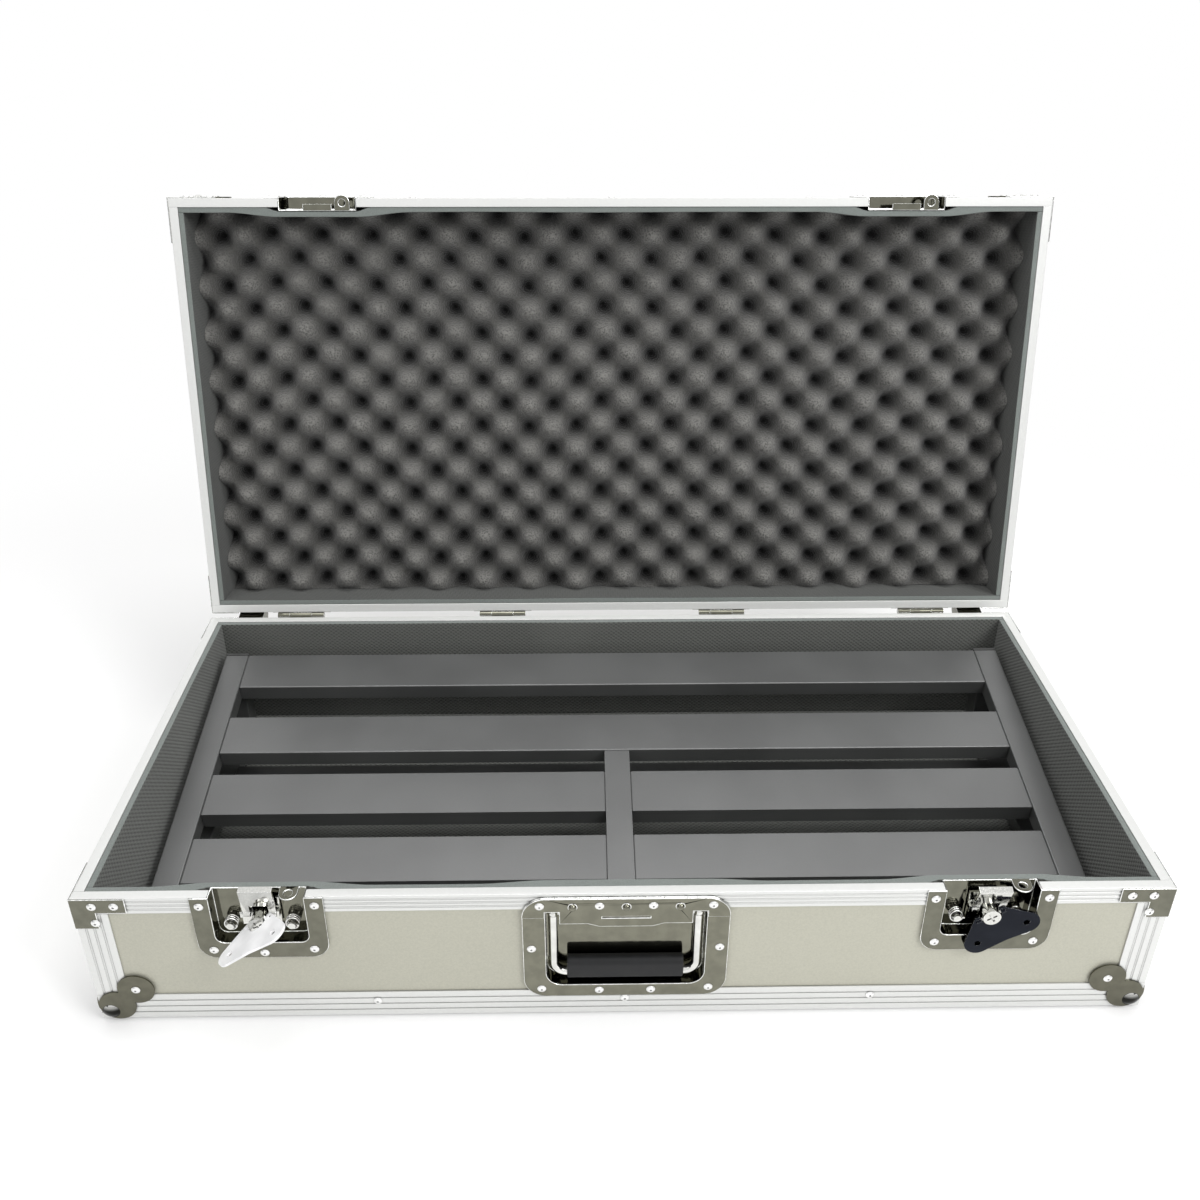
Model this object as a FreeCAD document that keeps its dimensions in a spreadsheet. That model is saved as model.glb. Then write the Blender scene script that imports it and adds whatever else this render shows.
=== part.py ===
import FreeCAD, Part
import Sketcher
import math
import os

# Hard case for a guitar pedal board: base, hinged lid standing open at its stop, two butterfly latches,
# one recessed handle, linings, and the sloping pedal board that lifts out.
# Frame: X to the right, Y to the back, Z up. The origin is on the floor, under the middle of the base.

os.makedirs("parts", exist_ok=True)
doc = FreeCAD.newDocument("PedalCase")
sheet = doc.addObject("Spreadsheet::Sheet", "Sizes")
Vector = FreeCAD.Vector


class Size:
    """A length or angle worked out from the sheet: its formula in the document and its value now."""

    def __init__(self, formula, value):
        self.formula = formula
        self.value = value

    def __float__(self):
        return float(self.value)

    def joined(self, sign, other, value, turned=False):
        other_formula = other.formula if isinstance(other, Size) else repr(other)
        left, right = (other_formula, self.formula) if turned else (self.formula, other_formula)
        return Size(f"({left} {sign} {right})", value)

    def __add__(self, other):
        return self.joined("+", other, float(self) + float(other))

    def __radd__(self, other):
        return self.joined("+", other, float(self) + float(other), True)

    def __sub__(self, other):
        return self.joined("-", other, float(self) - float(other))

    def __rsub__(self, other):
        return self.joined("-", other, float(other) - float(self), True)

    def __mul__(self, other):
        return self.joined("*", other, float(self) * float(other))

    def __rmul__(self, other):
        return self.joined("*", other, float(self) * float(other), True)

    def __truediv__(self, other):
        return self.joined("/", other, float(self) / float(other))

    def __neg__(self):
        return Size(f"(-{self.formula})", -float(self))


def sine(angle):
    return Size(f"sin({angle.formula})", math.sin(math.radians(float(angle))))


def cosine(angle):
    return Size(f"cos({angle.formula})", math.cos(math.radians(float(angle))))


def slope_angle(rise, run):
    """Angle whose tangent is rise over run."""
    ratio = rise / run
    return Size(f"atan({ratio.formula})", math.degrees(math.atan(float(ratio))))


ZERO = Size("0", 0.0)
sheet_rows = 0


def size(name, value, note):
    """Write one driving dimension in the sheet and give it back as a Size."""
    global sheet_rows
    sheet_rows += 1
    sheet.set(f"A{sheet_rows}", name)
    sheet.set(f"B{sheet_rows}", str(value))
    sheet.setAlias(f"B{sheet_rows}", name)
    sheet.set(f"C{sheet_rows}", note)
    return Size(f"Sizes.{name}", value)


# Case
inner_width = size("inner_width", 840, "inside the panels, left to right")
inner_depth = size("inner_depth", 405, "inside the panels, front to back")
panel = size("panel", 7, "plywood panel")
skin = size("skin", 1.4, "wall of the aluminium strips")
base_height = size("base_height", 131, "underside of the base to the rim")
lid_height = size("lid_height", 80, "rim of the lid to its top")
rim_gap = size("rim_gap", 0.4, "between the two rims when the lid is shut")
open_angle = size("open_angle", 101.4, "lid at its stop")
band = size("band", 16, "height of the rim strip on the face")
strip_leg = size("strip_leg", 26, "leg of the edge and corner strips")
groove_width = size("groove_width", 1.6, "groove in a strip")
groove_depth = size("groove_depth", 0.5, "groove in a strip")
overrun = size("overrun", 1, "cutters run past what they cut")
fit_gap = size("fit_gap", 0.3, "between pieces that move past each other")
pin_gap = size("pin_gap", 0.05, "round a pin in its hole")

# Linings
wall_liner = size("wall_liner", 5, "foam on the walls")
floor_liner = size("floor_liner", 4, "foam on the floor")
liner_drop = size("liner_drop", 0.6, "top of the wall lining below the rim")
foam_height = size("foam_height", 46, "convoluted foam, to its peaks")
foam_hollow = size("foam_hollow", 11, "convoluted foam, at the bottom of its hollows")
foam_wide = size("foam_wide", 50.6, "hollows of one row apart")
foam_deep = size("foam_deep", 48.4, "every second row of hollows apart")
foam_shift_x = size("foam_shift_x", -11, "a hollow's place from the lid's middle, across")
foam_shift_y = size("foam_shift_y", -6.6, "the same hollow's place, front to back")

# Plates, ball corners and rivets
gauge = size("gauge", 1.2, "sheet of the plated hardware")
brace_long = size("brace_long", 43, "rim brace along the rim")
brace_short = size("brace_short", 30, "rim brace down the corner")
brace_wide = size("brace_wide", 19, "width of the brace's short leg")
brace_tall = size("brace_tall", 14, "height of the brace's long leg")
ball_radius = size("ball_radius", 12, "ball at a corner")
ball_drop = size("ball_drop", 3.3, "ball stands out past the faces")
ball_flat = size("ball_flat", 0.3, "flat worn on the ball, which the case stands on")
petal_place = size("petal_place", 33, "petal centre from the corner, both ways")
petal_radius = size("petal_radius", 15, "petal of a ball corner")
petal_root = size("petal_root", 15, "root disc of a petal, place from the corner")
rivet_radius = size("rivet_radius", 3.6, "head of a pop rivet")
rivet_height = size("rivet_height", 1.6, "head of a pop rivet")
rivet_edge = size("rivet_edge", 0.4, "straight edge of the head")
rivet_hole = size("rivet_hole", 0.9, "radius of the mandrel hole")
rivet_hole_depth = size("rivet_hole_depth", 0.8, "depth of the mandrel hole")
rivet_inset = size("rivet_inset", 7, "rivets in from an edge")
rivet_step = size("rivet_step", 17, "rivets of a brace apart")
strip_rivets = size("strip_rivets", 202, "rivets of the long strips apart")

# Latches
latch_inset = size("latch_inset", 142.4, "latch from the end of the case")
dish_half = size("dish_half", 51.5, "half the width of a latch flange")
dish_drop = size("dish_drop", 63.5, "base flange below the rim")
keeper_rise = size("keeper_rise", 38, "lid flange above the rim")
dish_round = size("dish_round", 15, "corner of a flange")
tray_half = size("tray_half", 36.5, "half the width of a latch recess")
tray_drop = size("tray_drop", 47, "recess below the rim")
keeper_tray = size("keeper_tray", 25, "recess above the rim, in the lid")
tray_depth = size("tray_depth", 12, "recess behind the case's face")
tray_round = size("tray_round", 7, "corner of a recess")
tab_place = size("tab_place", 24, "padlock tab from the latch's middle")
tab_radius = size("tab_radius", 7.5, "padlock tab")
tab_hole = size("tab_hole", 3.3, "radius of the padlock hole")
tab_reach = size("tab_reach", 3, "padlock tab in front of the case's face")
keeper_half = size("keeper_half", 14, "half the width of the keeper edge")
keeper_back = size("keeper_back", 5.6, "keeper edge behind the case's face")
hub_drop = size("hub_drop", 23, "cam axis below the rim")
shaft_radius = size("shaft_radius", 6, "cam shaft")
head_radius = size("head_radius", 7, "cam head")
head_front = size("head_front", 7.6, "cam head in front of the case's face")
head_thick = size("head_thick", 2, "cam head")
slot_wide = size("slot_wide", 1.6, "cross slot in the cam head")
slot_deep = size("slot_deep", 0.8, "cross slot in the cam head")
pin_front = size("pin_front", 4.4, "cross pin in front of the case's face")
cross_pin = size("cross_pin", 1.25, "radius of the cross pin")
ear_radius = size("ear_radius", 2.2, "ear of the leaf round the cross pin")
notch_radius = size("notch_radius", 8.2, "notch of the leaf round the cam head")
leaf_thick = size("leaf_thick", 2, "leaf")
leaf_ear = size("leaf_ear", 12, "leaf ear end from the cam axis")
leaf_back = size("leaf_back", 4, "leaf beyond the cross pin")
lobe_place = size("lobe_place", 21, "lobe hole from the middle, along the leaf")
lobe_drop = size("lobe_drop", 21.5, "lobe hole from the cross pin")
lobe_radius = size("lobe_radius", 10.5, "lobe")
lobe_hole = size("lobe_hole", 2.6, "radius of a lobe's hole")
cam_turn_left = size("cam_turn_left", -148, "left cam from shut, in the photograph")
cam_turn_right = size("cam_turn_right", 32, "right cam from shut, in the photograph")
leaf_flip_left = size("leaf_flip_left", 90, "left leaf flipped out")
leaf_flip_right = size("leaf_flip_right", 0, "right leaf lies flat")
hook_travel = size("hook_travel", 4, "hook rises in half a turn of the cam")
lean_left = size("lean_left", 9, "left hook leans out")
lean_right = size("lean_right", 20, "right hook leans out")
hook_half = size("hook_half", 13, "half the width of the hook")
hook_thick = size("hook_thick", 2, "hook plate")
hook_back = size("hook_back", 4, "hook pivot behind the case's face")
pivot_drop = size("pivot_drop", 24, "hook pivot below the rim, latch shut")
pivot_radius = size("pivot_radius", 1.3, "hook pivot pin")
boss_radius = size("boss_radius", 2.6, "boss round the hook pivot")
fork_half = size("fork_half", 7.3, "half the fork in the hook")
fork_top = size("fork_top", 10, "top of the fork above the pivot")
lip_rise = size("lip_rise", 26, "underside of the hook's lip above the pivot")
lip_thick = size("lip_thick", 1.6, "hook's lip")
lip_reach = size("lip_reach", 3.3, "hook's lip behind the plate")
slider_back = size("slider_back", 7, "slider behind the case's face")
slider_thick = size("slider_thick", 2, "slider plate")
slider_top = size("slider_top", 10, "slider top below the rim, latch shut")
slider_foot = size("slider_foot", 38, "slider foot below the rim, latch shut")
lug_thick = size("lug_thick", 2, "slider lug outside the hook")
lug_half = size("lug_half", 3, "half the height of a slider lug")
spring_place = size("spring_place", 24, "latch spring from the middle")
spring_drop = size("spring_drop", 31, "latch spring below the rim")
spring_radius = size("spring_radius", 5, "latch spring, middle of the wire")
spring_wire = size("spring_wire", 1.2, "latch spring wire")
spring_quarters = size("spring_quarters", 12, "quarter turns of a latch spring")
post_radius = size("post_radius", 2.2, "post in a latch spring")
post_head = size("post_head", 3, "head of that post")

# Handle
handle_half = size("handle_half", 82, "half the width of the handle flange")
handle_top = size("handle_top", 3.3, "flange top below the rim")
handle_lift = size("handle_lift", 20, "flange foot above the base's underside")
handle_round = size("handle_round", 19, "corner of the handle flange")
well_half = size("well_half", 63.6, "half the width of the handle recess")
well_top = size("well_top", 15, "recess top below the rim")
well_rim = size("well_rim", 13, "flange below the handle recess")
well_depth = size("well_depth", 11.4, "recess behind the case's face")
well_round = size("well_round", 13, "lower corner of the handle recess")
well_round_top = size("well_round_top", 7, "upper corner of the handle recess")
bail_radius = size("bail_radius", 3.8, "bail rod")
bail_half = size("bail_half", 57.6, "rod from the middle")
bail_axis = size("bail_axis", 23.5, "bail axis below the rim")
bail_back = size("bail_back", 5, "bail axis behind the case's face")
bail_lift = size("bail_lift", 10, "lower rod above the recess's foot")
bail_bend = size("bail_bend", 10.4, "bend of the rod")
knuckle_radius = size("knuckle_radius", 4.5, "ball at the bail's ends")
stub_radius = size("stub_radius", 2.5, "stub axle of the bail")
stub_end = size("stub_end", 35, "stub axle's inner end from the middle")
bracket_half = size("bracket_half", 52.5, "cheeks of the pivot bracket, from the middle")
bracket_foot = size("bracket_foot", 29.4, "bracket foot below the rim")
bracket_middle = size("bracket_middle", 21, "half the deeper middle of the bracket")
bracket_middle_foot = size("bracket_middle_foot", 32.4, "foot of that middle below the rim")
bracket_shoulder = size("bracket_shoulder", 9, "slanted run beside that middle")
bracket_wing_foot = size("bracket_wing_foot", 23.3, "foot of the bracket's wings below the rim")
bracket_notch = size("bracket_notch", 17, "top of the notch round a ball, below the rim")
ball_clearance = size("ball_clearance", 1.8, "round the outside of a ball of the bail")
bracket_thick = size("bracket_thick", 1.5, "pivot bracket")
bracket_slot = size("bracket_slot", 19, "half the slot in the bracket")
dome_step = size("dome_step", 42, "domed rivets of the bracket apart")
dome_drop = size("dome_drop", 11.5, "domed rivets below the rim")
coil_radius = size("coil_radius", 4, "handle spring, middle of the wire")
coil_wire = size("coil_wire", 1.2, "handle spring wire")
coil_quarters = size("coil_quarters", 14, "quarter turns of a handle spring")
grip_half = size("grip_half", 47, "half the grip")
grip_radius = size("grip_radius", 5.8, "rounded edge of the grip")
grip_rise = size("grip_rise", 10.5, "height of the grip between its rounded edges")

# Hinges and stops
hinge_out = size("hinge_out", 3.6, "hinge axis behind the rear face")
knuckle = size("knuckle", 3.2, "radius of a hinge knuckle")
hinge_pin = size("hinge_pin", 1.5, "radius of a hinge pin")
hinge_inner = size("hinge_inner", 118, "inner hinges from the middle")
hinge_inset = size("hinge_inset", 94.4, "outer hinges from the end of the case")
barrel_half = size("barrel_half", 24.5, "half the barrel")
barrel_mid = size("barrel_mid", 11.5, "half the middle knuckle")
leaf_half = size("leaf_half", 31, "half the width of a hinge leaf")
leaf_height = size("leaf_height", 30, "hinge leaf from the axis")
stop_inset = size("stop_inset", 40.4, "lid stop from the end of the case")
stop_half = size("stop_half", 13, "half the width of a lid stop")
stop_reach = size("stop_reach", 24, "lid stop behind the rear face")
stop_height = size("stop_height", 34, "lid stop plate")
strike_start = size("strike_start", 8, "strike plate from the lid's rim")
strike_end = size("strike_end", 30, "strike plate's far end from the lid's rim")

# Pedal board
board_side_gap = size("board_side_gap", 13.5, "pedal board from each side panel")
board_front_gap = size("board_front_gap", 9.7, "front top edge behind the front panel")
board_front_height = size("board_front_height", 45.8, "front top edge above the base's underside")
board_sink = size("board_sink", 21.7, "rear top edge below the rim")
board_back_gap = size("board_back_gap", 32.5, "rear top edge in front of the rear panel")
rail_wide = size("rail_wide", 48.6, "cross rail")
rail_tall = size("rail_tall", 17, "cross rail and side rail")
rail_wall = size("rail_wall", 2, "wall of the rails")
side_rail = size("side_rail", 23.6, "width of a side rail")
rear_slot = size("rear_slot", 42.4, "gap between the first two cross rails")
brace_rail = size("brace_rail", 24, "width of the centre brace")
cap_thick = size("cap_thick", 3, "end cap of a side rail")
bottom_rail = size("bottom_rail", 15, "height of a bottom rail before it meets the side rail")
leg_deep = size("leg_deep", 24, "rear leg, front to back")
leg_inset = size("leg_inset", 8, "rear leg in front of the rear end")
low_rail_wide = size("low_rail_wide", 30, "lower cross rail")
low_rail_place = size("low_rail_place", 122, "lower cross rail's front from the rear end")
foot_radius = size("foot_radius", 9, "rubber foot")
foot_height = size("foot_height", 5, "rubber foot")
foot_inset = size("foot_inset", 22, "feet from the ends of a bottom rail")

# Places worked out from the driving sizes
wall = panel + skin
outer_x = inner_width / 2 + wall
outer_y = inner_depth / 2 + wall
face_x = outer_x - skin
face_y = outer_y - skin
inner_x = inner_width / 2
inner_y = inner_depth / 2
bottom_z = ball_drop - ball_flat
rim_z = bottom_z + base_height
lid_rim_z = rim_z + rim_gap
hinge_z = rim_z + rim_gap / 2
hinge_y = outer_y + hinge_out
top_z = lid_rim_z + lid_height
latch_place = outer_x - latch_inset
hinge_outer = outer_x - hinge_inset
stop_place = outer_x - stop_inset
handle_foot = base_height - handle_lift
well_foot = handle_foot - well_rim
bail_foot = well_foot - bail_lift

# The board fills the base but for named clearances; its slope follows from its two ends' heights
board_width = inner_width - board_side_gap * 2
board_run = inner_depth - board_back_gap - board_front_gap
board_slope = slope_angle(base_height - board_sink - board_front_height, board_run)
board_depth = board_run / cosine(board_slope)

AXES = {
    "x": FreeCAD.Rotation(Vector(0, 1, 0), 90),
    "y": FreeCAD.Rotation(Vector(1, 0, 0), -90),
    "z": FreeCAD.Rotation(),
}
made = {}


def place(piece, x, y, z):
    """Bind a piece's position to the sheet."""
    for axis, length in zip("xyz", (x, y, z)):
        piece.setExpression(f"Placement.Base.{axis}", length.formula)


def block(name, x, y, z):
    """A box between two bounds on each axis."""
    piece = doc.addObject("Part::Box", name)
    lows = []
    for span, side in zip((x, y, z), ("Length", "Width", "Height")):
        low, high = sorted(span, key=float)
        piece.setExpression(side, (high - low).formula)
        lows.append(low)
    place(piece, *lows)
    return piece


def rod(name, radius, axis, start, end, across, up):
    """A cylinder along an axis from start to end; across and up are its other two coordinates."""
    piece = doc.addObject("Part::Cylinder", name)
    piece.setExpression("Radius", radius.formula)
    low, high = sorted((start, end), key=float)
    piece.setExpression("Height", (high - low).formula)
    piece.Placement.Rotation = AXES[axis]
    spot = [across, up]
    spot.insert("xyz".index(axis), low)
    place(piece, *spot)
    return piece


def cut(name, base, *tools):
    piece = doc.addObject("Part::Cut", name)
    piece.Base = base
    piece.Tool = tools[0] if len(tools) == 1 else gathered(name + "_tools", *tools)
    return piece


def joined(name, *pieces):
    piece = doc.addObject("Part::MultiFuse", name)
    piece.Shapes = list(pieces)
    return piece


def gathered(name, *pieces):
    piece = doc.addObject("Part::Compound", name)
    piece.Links = list(pieces)
    return piece


def mirrored(name, source, x=0, y=0):
    piece = doc.addObject("Part::Mirroring", name)
    piece.Source = source
    piece.Normal = Vector(x, y, 0)
    return piece


def both_sides(name, piece):
    """The piece and its mirror image on the other side."""
    return gathered(name, piece, mirrored(name + "_other", piece, x=1))


def four_corners(name, piece):
    """The piece and its images at the other three corners."""
    left = mirrored(name + "_left", piece, x=1)
    back = mirrored(name + "_back", piece, y=1)
    back_left = mirrored(name + "_back_left", left, y=1)
    return gathered(name, piece, left, back, back_left)


def outline_body(name, plane, corners, start, thickness, *rounds):
    """A plate whose outline is a polygon on one of the origin planes, with some corners rounded.

    The plate starts at start along the plane's own normal: +Z for XY, -Y for XZ and +X for YZ.
    """
    body = doc.addObject("PartDesign::Body", name)
    sketch = body.newObject("Sketcher::SketchObject", name + "_outline")
    origin_plane = [item for item in body.Origin.OriginFeatures if item.Role == plane + "_Plane"][0]
    sketch.AttachmentSupport = [(origin_plane, "")]
    sketch.MapMode = "FlatFace"
    sketch.setExpression("AttachmentOffset.Base.z", start.formula)
    points = [Vector(float(across), float(up), 0) for across, up in corners]
    for index, point in enumerate(points):
        sketch.addGeometry(Part.LineSegment(point, points[(index + 1) % len(points)]), False)
    for index in range(len(points)):
        sketch.addConstraint(Sketcher.Constraint("Coincident", index, 2, (index + 1) % len(points), 1))
    for index, corner in enumerate(corners):
        for kind, length in zip(("DistanceX", "DistanceY"), corner):
            number = sketch.addConstraint(Sketcher.Constraint(kind, -1, 1, index, 1, float(length)))
            sketch.setExpression(f"Constraints[{number}]", length.formula)
    pad = body.newObject("PartDesign::Pad", name + "_pad")
    pad.Profile = sketch
    pad.setExpression("Length", thickness.formula)
    tip = pad
    for order, (indexes, radius) in enumerate(rounds):
        doc.recompute()
        edges = corner_edges(tip.Shape, plane, [points[index] for index in indexes])
        fillet = body.newObject("PartDesign::Fillet", f"{name}_round_{order}")
        fillet.Base = (tip, edges)
        fillet.setExpression("Radius", radius.formula)
        body.Tip = tip = fillet
    return body


def corner_edges(shape, plane, wanted):
    """Names of the straight edges that run along the plane's normal through the wanted corners."""
    across, up = {"XY": ("x", "y"), "XZ": ("x", "z"), "YZ": ("y", "z")}[plane]
    near = float(fit_gap) / 100
    names = []
    for number, edge in enumerate(shape.Edges, 1):
        ends = [vertex.Point for vertex in edge.Vertexes]
        for point in wanted:
            if len(ends) == 2 and all(abs(getattr(end, across) - point.x) < near
                                      and abs(getattr(end, up) - point.y) < near for end in ends):
                names.append(f"Edge{number}")
    return names


def rectangle(x, z):
    """Corners of an upright rectangle, from the lower left one round to the upper left one."""
    return [(x[0], z[0]), (x[1], z[0]), (x[1], z[1]), (x[0], z[1])]


def keep(piece, name):
    """Name a finished sub-part; its label names its file."""
    piece.Label = name
    made[name] = piece
    return piece


def opened(shut):
    """Swing a lid piece, modelled shut, about the hinge axis to the lid's open stop."""
    piece = gathered(shut.Name + "_opened", shut)
    turn = -open_angle
    piece.Placement.Rotation = FreeCAD.Rotation(Vector(1, 0, 0), float(turn))
    piece.setExpression("Placement.Rotation.Angle", turn.formula)
    place(piece, ZERO, hinge_y - (hinge_y * cosine(turn) - hinge_z * sine(turn)),
          hinge_z - (hinge_y * sine(turn) + hinge_z * cosine(turn)))
    return piece


def sloped(level):
    """Tip a board piece, modelled level with its rear top edge on the X axis, to the board's slope."""
    piece = gathered(level.Name + "_sloped", level)
    piece.Placement.Rotation = FreeCAD.Rotation(Vector(1, 0, 0), float(board_slope))
    piece.setExpression("Placement.Rotation.Angle", board_slope.formula)
    place(piece, ZERO, inner_y - board_back_gap, rim_z - board_sink)
    return piece


# Ribbed strips
def ribbed_leg(length):
    """Offsets along and into a strip's face: a straight run with three shallow grooves."""
    corners = [(ZERO, ZERO)]
    for share in (0.25, 0.5, 0.75):
        middle = length * share
        for along, into in ((-1, 0), (-1, 1), (1, 1), (1, 0)):
            corners.append((middle + groove_width / 2 * along, groove_depth * into))
    corners.append((length, ZERO))
    return corners


def angle_strip(name, plane, corner, ways, legs, start, length):
    """An angle strip: two ribbed legs from an outer corner, ways giving the signs towards the case."""
    first = [(along, into) for along, into in ribbed_leg(legs[0])]
    second = [(into, along) for along, into in ribbed_leg(legs[1])]
    inside = [(legs[0], skin), (skin, skin), (skin, legs[1])]
    run = first + inside + second[:0:-1]
    corners = [(corner[0] + across * ways[0], corner[1] + up * ways[1]) for across, up in run]
    return outline_body(name, plane, corners, start, length)


def rim_strip(name, plane, outer, way, rim, down, start, length):
    """A rim strip: a ribbed band on the face and a web over the panel's edge."""
    face = [(outer + into * way, rim + along * down) for along, into in ribbed_leg(band)]
    inside = [(outer + skin * way, rim + band * down), (outer + skin * way, rim + skin * down),
              (outer + wall * way, rim + skin * down), (outer + wall * way, rim)]
    return outline_body(name, plane, face + inside, start, length)


def shell(prefix, rim, far, down, swing):
    """Strips, panels, braces, ball corners and wall lining of one half of the case.

    rim is the height of its rim, far that of its closed side, and down the sign from the one to the other.
    """
    def finish(piece, name):
        keep(swing(piece), name)

    # Rim strips: the side ones stop at the end ones' bands, and their webs stop at the end ones' webs.
    for name, way in (("front", 1), ("rear", -1)):
        strip = rim_strip(f"{prefix}_rim_{name}", "YZ", outer_y * -way, way, rim, down,
                          -outer_x, outer_x * 2)
        if name == "front":
            strip = cut(f"{prefix}_rim_front_cut", strip, *openings_at(prefix, "rim", rim, down))
        finish(strip, f"{prefix}_rim_strip_{name}")
    side = rim_strip(f"{prefix}_rim_side", "XZ", outer_x, -1, rim, down, -face_y, face_y * 2)
    web_ends = [block(f"{prefix}_web_end_{index}", (inner_x - overrun, outer_x + overrun),
                      (inner_y * way, outer_y * way), (rim - overrun * down, rim + skin * down))
                for index, way in enumerate((1, -1))]
    finish(both_sides(f"{prefix}_rim_sides", cut(f"{prefix}_rim_side_cut", side, *web_ends)),
               f"{prefix}_rim_strip_sides")

    # Strips round the closed side, and up or down the four corners
    legs = (strip_leg, strip_leg)
    end_strip = angle_strip(f"{prefix}_end_strip", "YZ", (-outer_y, far), (1, -down), legs,
                            -outer_x, outer_x * 2)
    side_strip = angle_strip(f"{prefix}_side_strip", "XZ", (outer_x, far), (-1, -down), legs,
                             -face_y, face_y * 2)
    foot_ends = [block(f"{prefix}_foot_end_{index}", (outer_x - strip_leg - overrun, outer_x + overrun),
                       ((outer_y - strip_leg) * way, outer_y * way),
                       (far + overrun * down, far - skin * down))
                 for index, way in enumerate((1, -1))]
    side_strip = cut(f"{prefix}_side_strip_cut", side_strip, *foot_ends)
    finish(gathered(f"{prefix}_edge_strips", end_strip, mirrored(f"{prefix}_end_strip_back", end_strip, y=1),
                        side_strip, mirrored(f"{prefix}_side_strip_left", side_strip, x=1)),
               f"{prefix}_edge_strips")
    low, high = sorted((rim + band * down, far - strip_leg * down), key=float)
    upright = angle_strip(f"{prefix}_upright", "XY", (outer_x, -outer_y), (-1, 1), legs,
                          low, high - low)
    finish(four_corners(f"{prefix}_uprights", upright), f"{prefix}_corner_strips")

    # Panels: the end panels run the full width, the side panels stand between them
    walls = (rim + skin * down, far - skin * down)
    front = block(f"{prefix}_front", (-face_x, face_x), (-face_y, -inner_y), walls)
    front = cut(f"{prefix}_front_cut", front, *openings_at(prefix, "panel", rim, down))
    finish(front, f"{prefix}_front_panel")
    finish(block(f"{prefix}_rear", (-face_x, face_x), (inner_y, face_y), walls), f"{prefix}_rear_panel")
    side_panel = block(f"{prefix}_side", (inner_x, face_x), (-inner_y, inner_y), walls)
    finish(both_sides(f"{prefix}_sides", side_panel), f"{prefix}_side_panels")
    closed_side = block(f"{prefix}_closed_side", (-inner_x, inner_x), (-inner_y, inner_y),
                        (far - skin * down, far - (skin + panel) * down))
    finish(closed_side, "base_floor_panel" if prefix == "base" else "lid_top_panel")

    # L braces at the rim corners and ball corners at the closed side
    case_block = block(f"{prefix}_case", (-outer_x, outer_x), (-outer_y, outer_y), (rim, far))
    out_x, out_y = outer_x + gauge, outer_y + gauge
    arms = [block(f"{prefix}_brace_arm_{index}", (out_x - across, out_x), (-out_y, -out_y + back),
                  (rim + brace_lift * down, rim + (brace_lift + tall) * down))
            for index, (across, back, tall) in enumerate((
                (brace_long, gauge * 2, brace_tall), (brace_wide, gauge * 2, brace_short),
                (gauge * 2, brace_long, brace_tall), (gauge * 2, brace_wide, brace_short)))]
    brace = cut(f"{prefix}_brace", joined(f"{prefix}_brace_arms", *arms), case_block)
    stop_room = [block(f"{prefix}_stop_room_{index}",
                       ((stop_place - stop_half * 2) * side, (stop_place + stop_half + fit_gap) * side),
                       (outer_y, out_y + overrun), (rim, rim + brace_short * down))
                 for index, side in enumerate((-1, 1))]
    finish(cut(f"{prefix}_braces_cut", four_corners(f"{prefix}_braces", brace), *stop_room),
           f"{prefix}_rim_braces")
    finish(four_corners(f"{prefix}_balls", ball_corner(prefix, far, down, case_block)),
               f"{prefix}_ball_corners")

    # Wall lining: end pieces the full width, side pieces between them
    lined = (rim + liner_drop * down, far - (skin + panel) * down)
    if prefix == "base":
        lined = (lined[0], lined[1] + floor_liner)
    front = block(f"{prefix}_liner_front", (-inner_x, inner_x), (-inner_y, -inner_y + wall_liner), lined)
    front = cut(f"{prefix}_liner_front_cut", front, *openings_at(prefix, "liner", rim, down))
    rear = block(f"{prefix}_liner_rear", (-inner_x, inner_x), (inner_y - wall_liner, inner_y), lined)
    side = block(f"{prefix}_liner_side", (inner_x - wall_liner, inner_x),
                 (-inner_y + wall_liner, inner_y - wall_liner), lined)
    finish(gathered(f"{prefix}_liners", front, rear, side, mirrored(f"{prefix}_liner_left", side, x=1)),
               f"{prefix}_wall_liners")


brace_lift = fit_gap


def openings_at(prefix, layer, rim, down):
    """Cutters through one layer of the front wall for the latch recesses and, in the base, the handle's."""
    drop = tray_drop if float(down) < 0 else keeper_tray
    cutters = [block(f"{prefix}_{layer}_latch_opening_{index}",
                     (latch_place * side - tray_half - gauge, latch_place * side + tray_half + gauge),
                     (-outer_y - overrun, -outer_y + tray_depth),
                     (rim - overrun * down, rim + (drop + gauge) * down))
               for index, side in enumerate((-1, 1))]
    if prefix == "base":
        cutters.append(block(f"base_{layer}_handle_opening", (-well_half - gauge, well_half + gauge),
                             (-outer_y - overrun, -outer_y + well_depth + gauge),
                             (rim_z - well_top + gauge, rim_z - well_foot - gauge)))
    return cutters


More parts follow.
